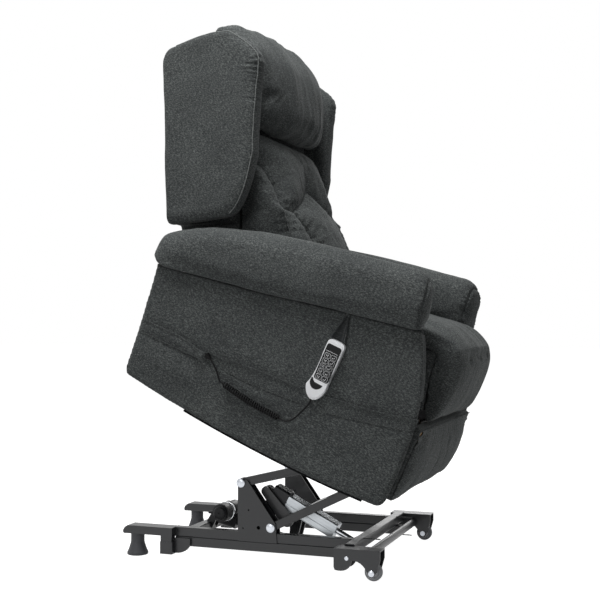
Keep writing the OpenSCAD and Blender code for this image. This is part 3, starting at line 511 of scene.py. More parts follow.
def geometry_tree(name, inputs):
    tree = bpy.data.node_groups.new(name, "GeometryNodeTree")
    tree.interface.new_socket("Geometry", in_out="INPUT", socket_type="NodeSocketGeometry")
    for label, kind, value in inputs:
        socket = tree.interface.new_socket(label, in_out="INPUT", socket_type=kind)
        if value is not None:
            socket.default_value = value
    tree.interface.new_socket("Geometry", in_out="OUTPUT", socket_type="NodeSocketGeometry")
    return tree, tree.nodes.new("NodeGroupInput").outputs


def close_tree(tree, geometry, source):
    """Ends a tree with real geometry in its material."""
    real = add(tree, "GeometryNodeRealizeInstances", Geometry=geometry).outputs[0]
    real = add(tree, "GeometryNodeSetMaterial", Geometry=real, Material=source["Material"]).outputs[0]
    add(tree, "NodeGroupOutput", Geometry=real)
    return tree


def round_trim_tree():
    """A round cord along each line: cords, piping, bindings and printed strokes."""
    tree, source = geometry_tree("round_trim", [("Radius", "NodeSocketFloat", 0.0025),
                                                ("Sides", "NodeSocketInt", 8),
                                                ("Material", "NodeSocketMaterial", None)])
    line = add(tree, "GeometryNodeMeshToCurve", Mesh=source["Geometry"]).outputs[0]
    ring = add(tree, "GeometryNodeCurvePrimitiveCircle", Radius=source["Radius"],
               Resolution=source["Sides"]).outputs[0]
    tube = add(tree, "GeometryNodeCurveToMesh", Curve=line, Profile_Curve=ring, Fill_Caps=True).outputs[0]
    tube = add(tree, "GeometryNodeSetShadeSmooth", Geometry=tube).outputs[0]
    return close_tree(tree, tube, source)


def stitch_tree():
    """Short threads set along each line."""
    tree, source = geometry_tree("stitches", [("Pitch", "NodeSocketFloat", 0.006),
                                              ("Length", "NodeSocketFloat", 0.004),
                                              ("Thickness", "NodeSocketFloat", 0.0008),
                                              ("Material", "NodeSocketMaterial", None)])
    line = add(tree, "GeometryNodeMeshToCurve", Mesh=source["Geometry"]).outputs[0]
    spots = add(tree, "GeometryNodeResampleCurve", {"mode": "LENGTH"}, Curve=line,
                Length=source["Pitch"]).outputs[0]
    along = add(tree, "GeometryNodeInputTangent").outputs[0]
    turn = add(tree, "FunctionNodeAlignRotationToVector", {"axis": "Z"}, Vector=along).outputs[0]
    thread = add(tree, "GeometryNodeMeshCylinder", Vertices=6, Radius=source["Thickness"],
                 Depth=source["Length"]).outputs[0]
    threads = add(tree, "GeometryNodeInstanceOnPoints", Points=spots, Instance=thread,
                  Rotation=turn).outputs[0]
    return close_tree(tree, threads, source)


def weld_tree():
    """Overlapping beads of a hand-laid weld."""
    tree, source = geometry_tree("weld_beads", [("Pitch", "NodeSocketFloat", 0.0022),
                                                ("Radius", "NodeSocketFloat", 0.0022),
                                                ("Material", "NodeSocketMaterial", None)])
    line = add(tree, "GeometryNodeMeshToCurve", Mesh=source["Geometry"]).outputs[0]
    spots = add(tree, "GeometryNodeResampleCurve", {"mode": "LENGTH"}, Curve=line,
                Length=source["Pitch"]).outputs[0]
    bead = add(tree, "GeometryNodeMeshIcoSphere", Radius=source["Radius"], Subdivisions=1).outputs[0]
    size = add(tree, "FunctionNodeRandomValue", {"data_type": "FLOAT"}, n2=0.8, n3=1.15, Seed=4).outputs[1]
    beads = add(tree, "GeometryNodeInstanceOnPoints", Points=spots, Instance=bead, Scale=size).outputs[0]
    return close_tree(tree, beads, source)


TREES = {}


def grow(name, routes, tree, **values):
    """Runs a tree on lines and keeps the plain mesh."""
    points, edges = [], []
    for route in routes:
        start = len(points)
        points += [tuple(p) for p in route]
        edges += [(start + i, start + i + 1) for i in range(len(route) - 1)]
    piece = new_mesh(name, points, edges=edges)
    if tree not in TREES:
        TREES[tree] = {"trim": round_trim_tree, "stitch": stitch_tree, "weld": weld_tree}[tree]()
    modifier = piece.modifiers.new(tree, "NODES")
    modifier.node_group = TREES[tree]
    for item in TREES[tree].interface.items_tree:
        if item.item_type == "SOCKET" and item.in_out == "INPUT" and item.name in values:
            modifier[item.identifier] = values[item.name]
    return bake(piece)


# ------------------------------------------------------------------ chair lines
SEAM_LINE = [(72, 488), (140, 476), (214, 462), (337, 439), (403, 425), (551, 394), (746, 360), (872, 338),
             (890, 346), (912, 362), (926, 378)]
TOP_LINE = [(72, 600), (90, 618), (104, 632), (125, 642), (155, 646), (250, 634), (373, 616), (523, 588),
            (631, 565), (782, 515), (831, 490), (884, 455), (912, 432), (926, 402)]
PANEL_FOOT = curve((10, -2), (280, -27), (560, -27), (842, -1), 24)


# A point of the backrest's plane, and its lean per mm of height
BACK_U, BACK_W, BACK_LEAN = 645, 300, 0.4143


def back_line(w):
    """How far back the backrest's plane is at a height."""
    return BACK_U + BACK_LEAN * (w - BACK_W)


def seam_gap(x, w, a, b):
    """Distance of a flat point from the line from a to b."""
    ax, aw = a
    dx, dw = b[0] - ax, b[1] - aw
    t = min(1, max(0, ((x - ax) * dx + (w - aw) * dw) / (dx * dx + dw * dw)))
    return math.hypot(x - ax - t * dx, w - aw - t * dw)


def paint(node, material):
    """Finishes a frame node in its material."""
    slots = NODES[node].data.materials
    slots.clear()
    slots.append(MATERIALS[material])


def carried(piece, body):
    """A finished piece on its body."""
    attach(piece, body)
    return piece


def trim(name, routes, body, radius, sides, material):
    """Round trim along each route, on its body."""
    piece = grow(name, routes, "trim", Radius=radius, Sides=sides, Material=MATERIALS[material])
    return carried(piece, body)


def turned(name, at, outline, material, body, count=48):
    """Piece turned about an axis across the base: outline has places across and radii."""
    n = len(outline)
    points = [base(x, at[0] + r * math.cos(2 * math.pi * k / count),
                   at[1] + r * math.sin(2 * math.pi * k / count))
              for k in range(count) for x, r in outline]
    faces = [(k * n + i, k * n + (i + 1) % n, ((k + 1) % count) * n + (i + 1) % n, ((k + 1) % count) * n + i)
             for k in range(count) for i in range(n)]
    piece = shade(outward(new_mesh(name, points, faces)), MATERIALS[material])
    return carried(piece, body)


def cover(piece, body, *nodes, material="cloth", fill_level=0.6):
    """A piece in its cloth, on its body, with the frame nodes it stands for hidden."""
    shade(piece, MATERIALS[material])
    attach(piece, body)
    if nodes:
        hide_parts(*nodes)
    return piece


# ------------------------------------------------------------------ properties
class ChairSizes(bpy.types.PropertyGroup):
    piping: bpy.props.FloatProperty(name="Piping", description="Diameter of the piping cord", default=0.004,
                                    unit="LENGTH")
    skin: bpy.props.FloatProperty(name="Skin",
                                  description="Face size of the stuffed covers before the last division",
                                  default=0.009, unit="LENGTH")
    cord: bpy.props.FloatProperty(name="Cord", description="Diameter of the handset cord", default=0.0050,
                                  unit="LENGTH")
    curl: bpy.props.FloatProperty(name="Curls", description="Outer diameter of the cord's curls",
                                  default=0.0185,
                                  unit="LENGTH")
    curls: bpy.props.IntProperty(name="Number of curls", description="Turns of the coiled stretch",
                                 default=27)


class ChairColours(bpy.types.PropertyGroup):
    cloth: bpy.props.StringProperty(name="Cloth", description="Ground colour of the chenille, sRGB hex",
                                    default="#404343")
    cloth_dark: bpy.props.StringProperty(name="Cloth shade", description="Colour between the yarns, sRGB hex",
                                         default="#2a2c2d")
    cloth_light: bpy.props.StringProperty(name="Cloth fleck",
                                          description="Colour of the pale slubs, sRGB hex",
                                          default="#6f7371")
    steel: bpy.props.StringProperty(name="Steel", description="Powder coat of the lift base, sRGB hex",
                                    default="#101114")


class ChairOperator:
    bl_options = {"REGISTER", "UNDO"}

    def execute(self, context):
        self.make(context.scene.chair_sizes, context.scene.chair_colours)
        return {"FINISHED"}


# ------------------------------------------------------------------ operators
class CHAIR_OT_camera(ChairOperator, bpy.types.Operator):
    """Sets the camera at the right front of the chair, low"""
    bl_idname = "chair.camera"
    bl_label = "Camera"

    def make(self, sizes, colours):
        sensor, image_width, focal_pixels = 36, 600, 1066.83
        heading, pitch = math.radians(19.9474), math.radians(1.3766)
        lens = bpy.data.cameras.new("camera")
        lens.sensor_width = sensor
        lens.lens = sensor * focal_pixels / image_width
        lens.clip_end = 50
        camera = link("camera", lens)
        level = math.cos(pitch)
        look = Vector((math.cos(heading) * level, math.sin(heading) * level, math.sin(pitch)))
        camera.location = (-3.1877, -1.1422 + DATUM_Y * MM, 0.7114)
        camera.rotation_euler = look.to_track_quat("-Z", "Y").to_euler()
        bpy.context.scene.camera = camera


def directly_seen(tree):
    """1 for a ray from the camera, off a gloss or through a clear material, 0 for any other."""
    rays = add(tree, "ShaderNodeLightPath").outputs
    seen = rays["Is Camera Ray"]
    for kind in ("Is Glossy Ray", "Is Transmission Ray"):
        seen = add(tree, "ShaderNodeMath", {"operation": "MAXIMUM"}, n0=seen, n1=rays[kind]).outputs[0]
    return seen


# Each lamp's place, aim, width in metres and power in watts
LAMPS = {"key": ((-1.1, 0.1, 3.7), (0, 0, 0.8), 1.5, 106), "side": ((-3.5, 0.8, 1.7), (0, 0, 0.7), 1.6, 19),
         "rim": ((1.4, 1.6, 3.0), (0, 0, 1.0), 1.4, 12), "left": ((3.4, 0.4, 1.9), (0, 0, 0.8), 1.6, 26),
         "rear": ((0.9, 3.6, 2.0), (0, 0, 0.8), 1.6, 22)}


class CHAIR_OT_stage(ChairOperator, bpy.types.Operator):
    """Lays the pale floor and sets the lamps"""
    bl_idname = "chair.stage"
    bl_label = "Stage"

    def make(self, sizes, colours):
        scene = bpy.context.scene
        scene.view_settings.view_transform = "Standard"
        floor = new_mesh("floor", [(-30, -30, 0), (30, -30, 0), (30, 30, 0), (-30, 30, 0)], [(0, 1, 2, 3)])
        material, tree, shader, place = finish_tree("pale_painted_floor")
        seen = directly_seen(tree)
        mottle = add(tree, "ShaderNodeTexNoise", Vector=place, Scale=3.0).outputs[0]
        tone = add(tree, "ShaderNodeMix", {"data_type": "RGBA"}, Factor=mottle, n6=linear("#b4b4b4"),
                   n7=linear("#b9b9b9"))
        tree.links.new(tone.outputs[2], shader.inputs["Base Color"])
        shader.inputs["Roughness"].default_value = 0.95
        shader.inputs["Specular IOR Level"].default_value = 0.0
        glow = add(tree, "ShaderNodeMath", {"operation": "MULTIPLY"}, n0=seen, n1=0.97).outputs[0]
        shader.inputs["Emission Color"].default_value = (1, 1, 1, 1)
        tree.links.new(glow, shader.inputs["Emission Strength"])
        floor.data.materials.append(material)

        world = bpy.data.worlds.new("studio")
        world.use_nodes = True
        tree = world.node_tree
        tree.nodes.clear()
        seen = directly_seen(tree)
        level = add(tree, "ShaderNodeMix", {"data_type": "FLOAT"}, Factor=seen, n2=0.17, n3=1.0).outputs[0]
        light = add(tree, "ShaderNodeBackground", Color=(1, 1, 1, 1), Strength=level).outputs[0]
        add(tree, "ShaderNodeOutputWorld", Surface=light)
        scene.world = world
        for name, (at, aim, size, power) in LAMPS.items():
            lamp = bpy.data.lights.new(name, "AREA")
            lamp.shape = "DISK"
            lamp.size = size
            lamp.energy = power
            stand = link(name, lamp)
            stand.location = at
            stand.rotation_euler = (Vector(aim) - Vector(at)).to_track_quat("-Z", "Y").to_euler()


class CHAIR_OT_handset_cord(ChairOperator, bpy.types.Operator):
    """Winds the handset cord from the side panel to the handset"""
    bl_idname = "chair.handset_cord"
    bl_label = "Handset cord"

    def make(self, sizes, colours):
        x = -387
        cord = sizes.cord / MM
        away = Vector((0, -22, -10)).normalized()
        start, end = Vector((x, 551, 112)), Vector((x, 344, 97))
        axis = (end - start).normalized()
        gland = Vector((-384, 612, 158))
        route = [gland, gland + 5 * away]
        route += [Vector((x, u, w)) for u, w in ((600, 152), (592, 147), (584, 141), (576, 134),
                                                 (569, 126), (563, 119))]
        route += [start - cord * axis, start, start + cord * axis]
        radius = (sizes.curl / MM - cord) / 2
        up = Vector((1, 0, 0)).cross(axis).normalized()
        lead = cord + 1
        run = (end - start).length - 2 * lead
        steps = 16 * sizes.curls
        for i in range(steps + 1):
            t, a = i / steps, math.radians(22.5 * i)
            r = radius * min(1, (i + 1.2) / 12, (steps - i + 1.2) / 12)
            route.append(start + (lead + t * run) * axis + r * (math.cos(a) * up
                                                                + math.sin(a) * Vector((1, 0, 0)))
                         - Vector((0, 0, 5 * math.sin(math.pi * t))))
        route += [end - cord * axis, end, end + cord * axis]
        route += [Vector((x, u, w)) for u, w in ((334, 97.5), (329, 98.5), (324, 101), (317, 106),
                                                 (311, 113), (306, 121), (302, 130), (298, 140),
                                                 (294, 150), (290, 160), (287, 169), (285, 178),
                                                 (285, 188))]
        path = [chair(*p) for p in route]
        piece = grow("handset_cord", [path], "trim", Radius=sizes.cord / 2, Sides=10,
                     Material=MATERIALS["cord"])
        outward(piece)
        shade(piece, MATERIALS["cord"])
        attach(piece, "chair")
        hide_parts("cord_wall_lead", "cord_curls", "cord_handset_lead")


class CHAIR_OT_steelwork(ChairOperator, bpy.types.Operator):
    """Finishes the base, the links and the seat frame in powder-coated steel"""
    bl_idname = "chair.steelwork"
    bl_label = "Steelwork"

    def make(self, sizes, colours):
        finish = {"steel": ("rail_left", "rail_right", "front_cross_tube", "rear_cross_tube", "upright_left",
                            "upright_right", "castor_bracket_left", "castor_bracket_right", "lift_arm_left",
                            "lift_arm_right", "lift_torque_tube", "upper_link_left", "upper_link_right",
                            "seat_rail_left", "seat_rail_right", "seat_cross_tubes", "back_hinge",
                            "legrest_inner_links", "legrest_outer_links"),
                  "zinc": ("base_bolts",),
                  "rod": ("front_drive_rod", "rear_drive_rod", "recline_rod"),
                  "aluminium": ("front_drive_tube",),
                  "black_abs": ("front_drive_housing", "rear_drive_housing", "recline_drive",
                                "legrest_drive"),
                  "foot": ("foot_left", "foot_right"),
                  "plywood": ("legrest_board",),
                  "cord": ("cord_grommet",)}
        for material, names in finish.items():
            for name in names:
                paint(name, material)
        welds = [dense([base(s * 186.5, -300, z), base(s * 186.5, -250, z)], 0.002)
                 for s in (-1, 1) for z in (35.6, 91.6)]
        beads = grow("base_welds", welds, "weld", Pitch=0.0026, Radius=0.0022, Material=MATERIALS["steel"])
        carried(beads, "base")


class CHAIR_OT_castors(ChairOperator, bpy.types.Operator):
    """Turns the castor wheels: grey tread, pale rim, hub"""
    bl_idname = "chair.castors"
    bl_label = "Castors"

    def make(self, sizes, colours):
        tread = [(24.2, -7.5), (24.8, -6), (25, -3.2), (24.8, -1.2), (24.55, 0), (24.8, 1.2), (25, 3.2),
                 (24.8, 6), (24.2, 7.5), (22.8, 9), (20.6, 9.6), (20.2, 8), (20.2, -8), (20.6, -9.6),
                 (22.8, -9)]
        rim = [(20.4, -9), (20.4, 9), (19.2, 9.4), (17.6, 9), (16.8, 6.8), (13.4, 6.2), (10.4, 7),
               (9.6, 9), (9.2, 12.6), (8.6, 13.4), (6.6, 13.4), (6.2, 12.8), (6.2, -12.8), (6.6, -13.4),
               (8.6, -13.4), (9.2, -12.6), (9.6, -9), (10.4, -7), (13.4, -6.2), (16.8, -6.8), (17.6, -9),
               (19.2, -9.4)]
        across, axle = 305.6, (-315, 25)
        for s, side in ((1, "left"), (-1, "right")):
            for label, outline, material in (("tread", tread, "tyre"), ("rim", rim, "rim")):
                placed = [(s * (across + x), r) for r, x in outline]
                piece = turned(f"castor_{label}_{side}", axle, placed, material, f"castor_{side}",
                               64)
                if label == "tread":
                    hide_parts(f"castor_wheel_{side}")


class CHAIR_OT_drives(ChairOperator, bpy.types.Operator):
    """Adds the bright band of each motor and the end cap of the rear one"""
    bl_idname = "chair.drives"
    bl_label = "Drives"

    def make(self, sizes, colours):
        foot, head = Vector((268, 115)), Vector((4, 49))
        axis = (head - foot).normalized()
        above = Vector((axis[1], -axis[0]))
        motor = foot + 46 * axis + 30 * above
        x = -70
        turned("rear_motor_band", motor, [(x - 60, 28.05), (x - 60, 29.2), (x - 44, 29.2), (x - 44, 28.05)],
               "bright", "rear_drive")
        cap = [(100.1, 0.1), (100.1, 21), (103, 19.5), (105.5, 15), (106.5, 8), (106.8, 0.1)]
        turned("rear_motor_cap", motor, [(x - out, r) for out, r in cap], "key", "rear_drive")
        foot, head = Vector((-211, 70)), Vector((60, 211))
        axis = (head - foot).normalized()
        below = Vector((axis[1], -axis[0]))
        motor = foot + 275 * axis + 45 * below
        x = -145
        turned("front_motor_band", motor, [(x + 44, 28.05), (x + 44, 28.9), (x + 60, 28.9), (x + 60, 28.05)],
               "bright", "front_drive")


POCKET_MOUTH = [(-13, 268), (29, 257), (112, 237), (250, 213), (317, 206), (490, 190), (560, 181),
                (600, 174), (633, 168), (657, 171), (728, 179), (835, 177), (866, 173)]
POCKET_HEM = [(-16, 229), (13, 222), (183, 178), (233, 169), (330, 157), (430, 146), (505, 141),
              (559, 143), (584, 147), (687, 138), (832, 133), (864, 128)]
POCKET_CREASE = [(650, 178), (633, 166), (612, 152), (590, 140), (572, 130), (556, 118)]
POCKET_FOOT = [(0, 14), (0.02, 4), (0.32, -17), (0.66, -19), (0.98, 2), (1, 9)]
CORD_LINE = [(612, 158), (592, 147), (576, 134), (555, 113), (450, 100), (344, 96), (320, 104),
             (302, 130), (285, 188)]


def crease(u, w):
    """Which side of the pocket's crease a point lies on, and how far away."""
    far, side = 1e9, 0
    for a, b in zip(POCKET_CREASE, POCKET_CREASE[1:]):
        gap = seam_gap(u, w, a, b)
        if gap < far:
            far = gap
            side = (b[0] - a[0]) * (w - a[1]) - (b[1] - a[1]) * (u - a[0])
    return side, far


def pocket_lift(u, w, below):
    """How far the pocket stands off the panel; below is the depth under its mouth. All in mm."""
    hem = w - lookup(u, POCKET_HEM)
    # The hem is thicker, over a groove that its stitches pull in, and the mouth stands open
    lift = 2.4 + (2.2 if hem > 0 else 0.0) - 3.2 * math.exp(-(hem / 3.6) ** 2) * (1 + 0.3 * math.cos(u / 1.7))
    lift += 6.0 * math.exp(-(below / 6) ** 2)
    # Behind the crease the cloth is slack, and lower down it bellies out
    rear = clamp((u - 566) / 60) * clamp((866 - u) / 70)
    lift += rear * (6.0 * math.exp(-((below - 18) / 15) ** 2) - 3.0 * math.exp(-(hem / 7) ** 2))
    lift += 7.0 * math.exp(-((u - 700) / 120) ** 2 - ((w - 84) / 46) ** 2)
    side, far = crease(u, w)
    lift += 9.0 * math.exp(-((far - 13) / 12) ** 2) * (1 if side > 0 else 0.15)
    lift -= 6.0 * math.exp(-(far / 6) ** 2)
    lift += 1.5 * noise.noise((u / 55, w / 40, 4.0)) + 0.8 * noise.noise((u / 21, w / 16, 9.0))
    # Under the cord and the handset the cloth lies flat
    near = min(seam_gap(u, w, a, b) for a, b in zip(CORD_LINE, CORD_LINE[1:]))
    if 246 < u < 324 and w > 180:
        near = 0
    return 1.2 + (max(0.7, lift) - 1.2) * clamp((near - 9) / 16)


def outline_area(points):
    """Area inside a flat outline drawn in millimetres, in square metres."""
    turns = zip(points, points[1:] + points[:1])
    return abs(sum(a[0] * b[1] - b[0] * a[1] for a, b in turns)) / 2 * MM ** 2


# The strap's cut with its gathers opened: 62 mm along its free end, 14 mm where it is sewn under the arm
STRAP_CUT = [(0, 0), (62, 0), (38, 92), (24, 92)]
STRAP_TOP, STRAP_LENGTH = 452, 84


class CHAIR_OT_side_panels(ChairOperator, bpy.types.Operator):
    """Covers the side panels and sews the pocket on the right one"""
    bl_idname = "chair.side_panels"
    bl_label = "Side panels"

    def make(self, sizes, colours):
        for s, side in ((1, "left"), (-1, "right")):
            node = f"side_panel_{side}"
            piece = node_copy(f"side_cover_{side}", node)
            soften(piece, 0.006, 3)
            crumple(piece, 0.0016, 0.11, (1, 1.6, 1), seed=2.0 + s)
            cover(piece, "chair", node, fill_level=0.2)
            if s < 0:
                self.pocket(piece)
                self.strap(piece)
            edge = [chair(s * 370.5, u, w - 1.2) for u, w in PANEL_FOOT if 24 < u < 640]
            trim(f"foot_binding_{side}", [edge], "chair", 0.0034, 8, "felt")

    def pocket(self, panel):
        """Wide pocket with a hem along its mouth, slack where the handset cord comes out"""
        tree = BVHTree.FromObject(panel, bpy.context.evaluated_depsgraph_get())
        columns, rows = 330, 110
        points, foot, mouth = [], [], []
        for i in range(columns + 1):
            t = i / columns
            lower = (-9 + 857 * t, lookup(t, POCKET_FOOT))
            upper_u = -12 + 876 * t
            upper = (upper_u, lookup(upper_u, POCKET_MOUTH))
            foot.append(lower)
            mouth.append(upper)
            for j in range(rows + 1):
                v = j / rows
                u, w = lower[0] + (upper[0] - lower[0]) * v, lower[1] + (upper[1] - lower[1]) * v
                lift = pocket_lift(u, w, upper[1] - w)
                hit = tree.ray_cast(chair(-450, u, w), ACROSS)[0]
                x = hit.x / MM if hit is not None and hit.x < -0.36 else -372
                edge = clamp(min(t, 1 - t) * 60) * clamp(v * 18)
                points.append(chair(x - 0.3 - lift * (0.35 + 0.65 * edge), u, w))
        n = rows + 1
        faces = [(i * n + j, i * n + j + 1, (i + 1) * n + j + 1, (i + 1) * n + j)
                 for i in range(columns) for j in range(rows)]
        sheet = new_mesh("side_pocket", points, faces)
        if sheet.data.polygons[0].normal.x > 0:
            sheet.data.flip_normals()
        thicken(sheet, 0.0009)
        bake(sheet)
        shade(sheet, MATERIALS["cloth"])
        carried(sheet, "chair")
        cut = outline_area(foot + mouth[::-1])
        hem = [(u, lookup(u, POCKET_HEM)) for u in range(0, 850, 6)]
        hem = [(u, w) for u, w in hem if not 246 < u < 324 and crease(u, w)[1] > 14]
        parts = [[p for p in hem if low < p[0] < high] for low, high in ((-1, 250), (320, 560), (600, 850))]
        routes = [onto(sheet, [chair(-385, u, w) for u, w in part], 0.0002) for part in parts]
        thread = grow("pocket_stitches", routes, "stitch", Pitch=0.0075, Length=0.0048, Thickness=0.0006,
                      Material=MATERIALS["thread"])
        carried(thread, "chair")

    def strap(self, panel):
        """Loop of cloth sewn under the arm that holds the head of the handset"""
        rows, columns = 26, 30
        points = []
        for i in range(rows + 1):
            v = i / rows
            left, right = 290.5 + 17.5 * v, 282 - 23 * v
            near, far = 5.5 / (left - right), 1 - (3.5 + 7 * v) / (left - right)
            for j in range(columns + 1):
                t = j / columns
                rise = 1.6 + 7.5 * (lookup(t, [(0, 0.2), (near * 0.4, 1), (near, 1), (near + 0.09, 0)])
                                    + lookup(t, [(far - 0.08, 0), (far, 1), (0.97, 0.9), (1, 0.2)]))
                points.append(chair(-376.2 - rise * min(1, 0.25 + 1.4 * v), left + (right - left) * t,
                                    STRAP_TOP - STRAP_LENGTH * v))
        n = columns + 1
        faces = [(i * n + j, (i + 1) * n + j, (i + 1) * n + j + 1, i * n + j + 1) for i in range(rows)
                 for j in range(columns)]
        loop = new_mesh("handset_strap", points, faces)
        if loop.data.polygons[n // 2].normal.x > 0:
            loop.data.flip_normals()
        thicken(loop, 0.0011)
        subdivide(loop)
        shade(loop, MATERIALS["cloth"])
        # The recessed middle of the strap takes the darker cloth as painted shade between its raised edges
        loop.data.materials.append(MATERIALS["shade_cloth"])
        for face in loop.data.polygons:
            _, u, w = in_chair(np.array([face.center]))[0]
            v = (STRAP_TOP - w) / STRAP_LENGTH
            face.material_index = 1 if 297 + 15 * v - 1.5 > u > 276 - 10 * v and v > 0.16 else 0
        carried(loop, "chair")
        cut = outline_area(STRAP_CUT)


ARM_FRONT = [(470, 71), (500, 76), (530, 81), (565, 86), (604, 92), (622, 96), (638, 103), (650, 114),
             (658, 132)]


class CHAIR_OT_arm_pads(ChairOperator, bpy.types.Operator):
    """Stuffs the padded arms"""
    bl_idname = "chair.arm_pads"
    bl_label = "Padded arms"

    def make(self, sizes, colours):
        section = smooth_line([(0.86, 0), (0.965, 0.1), (1, 0.28), (0.985, 0.48), (0.91, 0.68), (0.76, 0.85),
                               (0.52, 0.96), (0.2, 1)], 3)
        profile = section + [(-a, b) for a, b in section[::-1]]
        stations = [(84, 0.93), (90, 0.975), (104, 1), (155, 1), (214, 1), (337, 0.99), (403, 0.985),
                    (551, 0.98), (746, 0.98), (831, 0.97), (866, 0.95), (888, 0.9), (904, 0.8),
                    (912, 0.62), (915, 0.5)]
        levels = sorted(set([s[0] for s in stations] + list(range(110, 900, 14))))
        half = 71
        for s, side in ((1, "left"), (-1, "right")):
            rings = []
            for u in levels:
                low, high, wide = lookup(u, SEAM_LINE), lookup(u, TOP_LINE), lookup(u, stations)
                ring = []
                for a, b in profile:
                    w = low + (high - low) * ((0.04 + 0.92 * b) if u < 100 else b)
                    lean = (lookup(w, ARM_FRONT) - 82) * (160 - u) / 76 if u < 160 else 0
                    back = 22 * max(0, (1 - a) / 2) ** 1.5 * max(0, (160 - u) / 76)
                    ring.append(chair(s * (263 + half + half * wide * a), u + lean + back, w))
                rings.append(ring)
            piece = ring_form(f"arm_cover_{side}", rings)
            soften(piece, sizes.skin, 4)
            local = in_chair(points_of(piece))
            low = np.interp(local[:, 1], [p[0] for p in SEAM_LINE], [p[1] for p in SEAM_LINE])
            fill(piece, 0.008, held=local[:, 2] < low + 10, slack=0.003)
            subdivide(piece)
            crumple(piece, 0.0022, 0.09, (1, 1.8, 1), seed=11.0 + s)
            low, high = lookup(100, SEAM_LINE), lookup(100, TOP_LINE)
            facing = smooth_line([(s * (334 + 71 * 0.985 * a), 8 + 20 * max(0, (1 - a) / 2) ** 1.5
                                   + lookup(low + (high - low) * b, ARM_FRONT), low + (high - low) * b)
                                  for a, b in profile[1:-1:2]], 6)
            facing = onto(piece, [chair(*p) for p in facing])
            draw_seam(piece, [facing], 0.0060, 0.0040, fold=0.0032, pitch=0.013, reach=0.022, phase=5.0 + s)
            cover(piece, "chair", f"arm_pad_{side}", fill_level=0.7)


SEAT_TOP = ([(604, 425), (560, 436), (440, 452), (320, 472), (200, 492)] + curve((110, 506), (64, 513),
                                                                                 (20, 515), (-8, 499))
            + curve((-30, 486), (-49, 440), (-48, 382), (-46, 336)) + curve((-44, 300), (-40, 264),
                                                                            (-28, 242), (-2, 241)))
SEAT_UNDER = [(8, 262), (18, 300), (27, 350), (32, 400), (36, 440), (60, 442), (110, 436), (200, 424),
              (320, 405), (440, 386), (560, 371), (602, 366)]


class CHAIR_OT_seat(ChairOperator, bpy.types.Operator):
    """Stuffs the seat cushion with its roll over the front, on its inner block"""
    bl_idname = "chair.seat"
    bl_label = "Seat cushion"

    def make(self, sizes, colours):
        stations = [1, 0.985, 0.96, 0.92, 0.86, 0.78, 0.68, 0.56, 0.42, 0.28, 0.14, 0]
        rings = []
        for x in mirrored(stations):
            e = abs(x) ** 4
            ring = [chair(x * 256, u + e * (16 * (40 - u) / 110 if u < 40 else 0),
                          w - e * (20 if w > 420 else 0))
                    for u, w in SEAT_TOP]
            ring += [chair(x * 256, u, w) for u, w in SEAT_UNDER]
            rings.append(ring)
        piece = ring_form("seat_cover", rings)
        soften(piece, sizes.skin, 5)
        local = in_chair(points_of(piece))
        rear = SEAT_UNDER[4:]
        under = np.interp(local[:, 1], [p[0] for p in rear], [p[1] for p in rear])
        held = ((local[:, 1] > 30) & (local[:, 2] < under + 14)) | (local[:, 1] > 585)
        fill(piece, 0.007, held=held, slack=0.003)
        subdivide(piece)
        crumple(piece, 0.0030, 0.12, (1, 1.4, 1.4), seed=21.0)
        cover(piece, "chair", "seat_cushion", fill_level=0.7)
        block = [(11, 266), (618, 266), (618, 361), (602, 363), (560, 368), (440, 383), (320, 402),
                 (200, 421), (110, 433), (60, 439), (39, 437), (35, 400), (30, 350), (21, 300)]
        core = ring_form("seat_block", [[chair(x, u, w) for u, w in block] for x in (-251, 251)])
        soften(core, 0.008, 3)
        cover(core, "chair", fill_level=0.9)


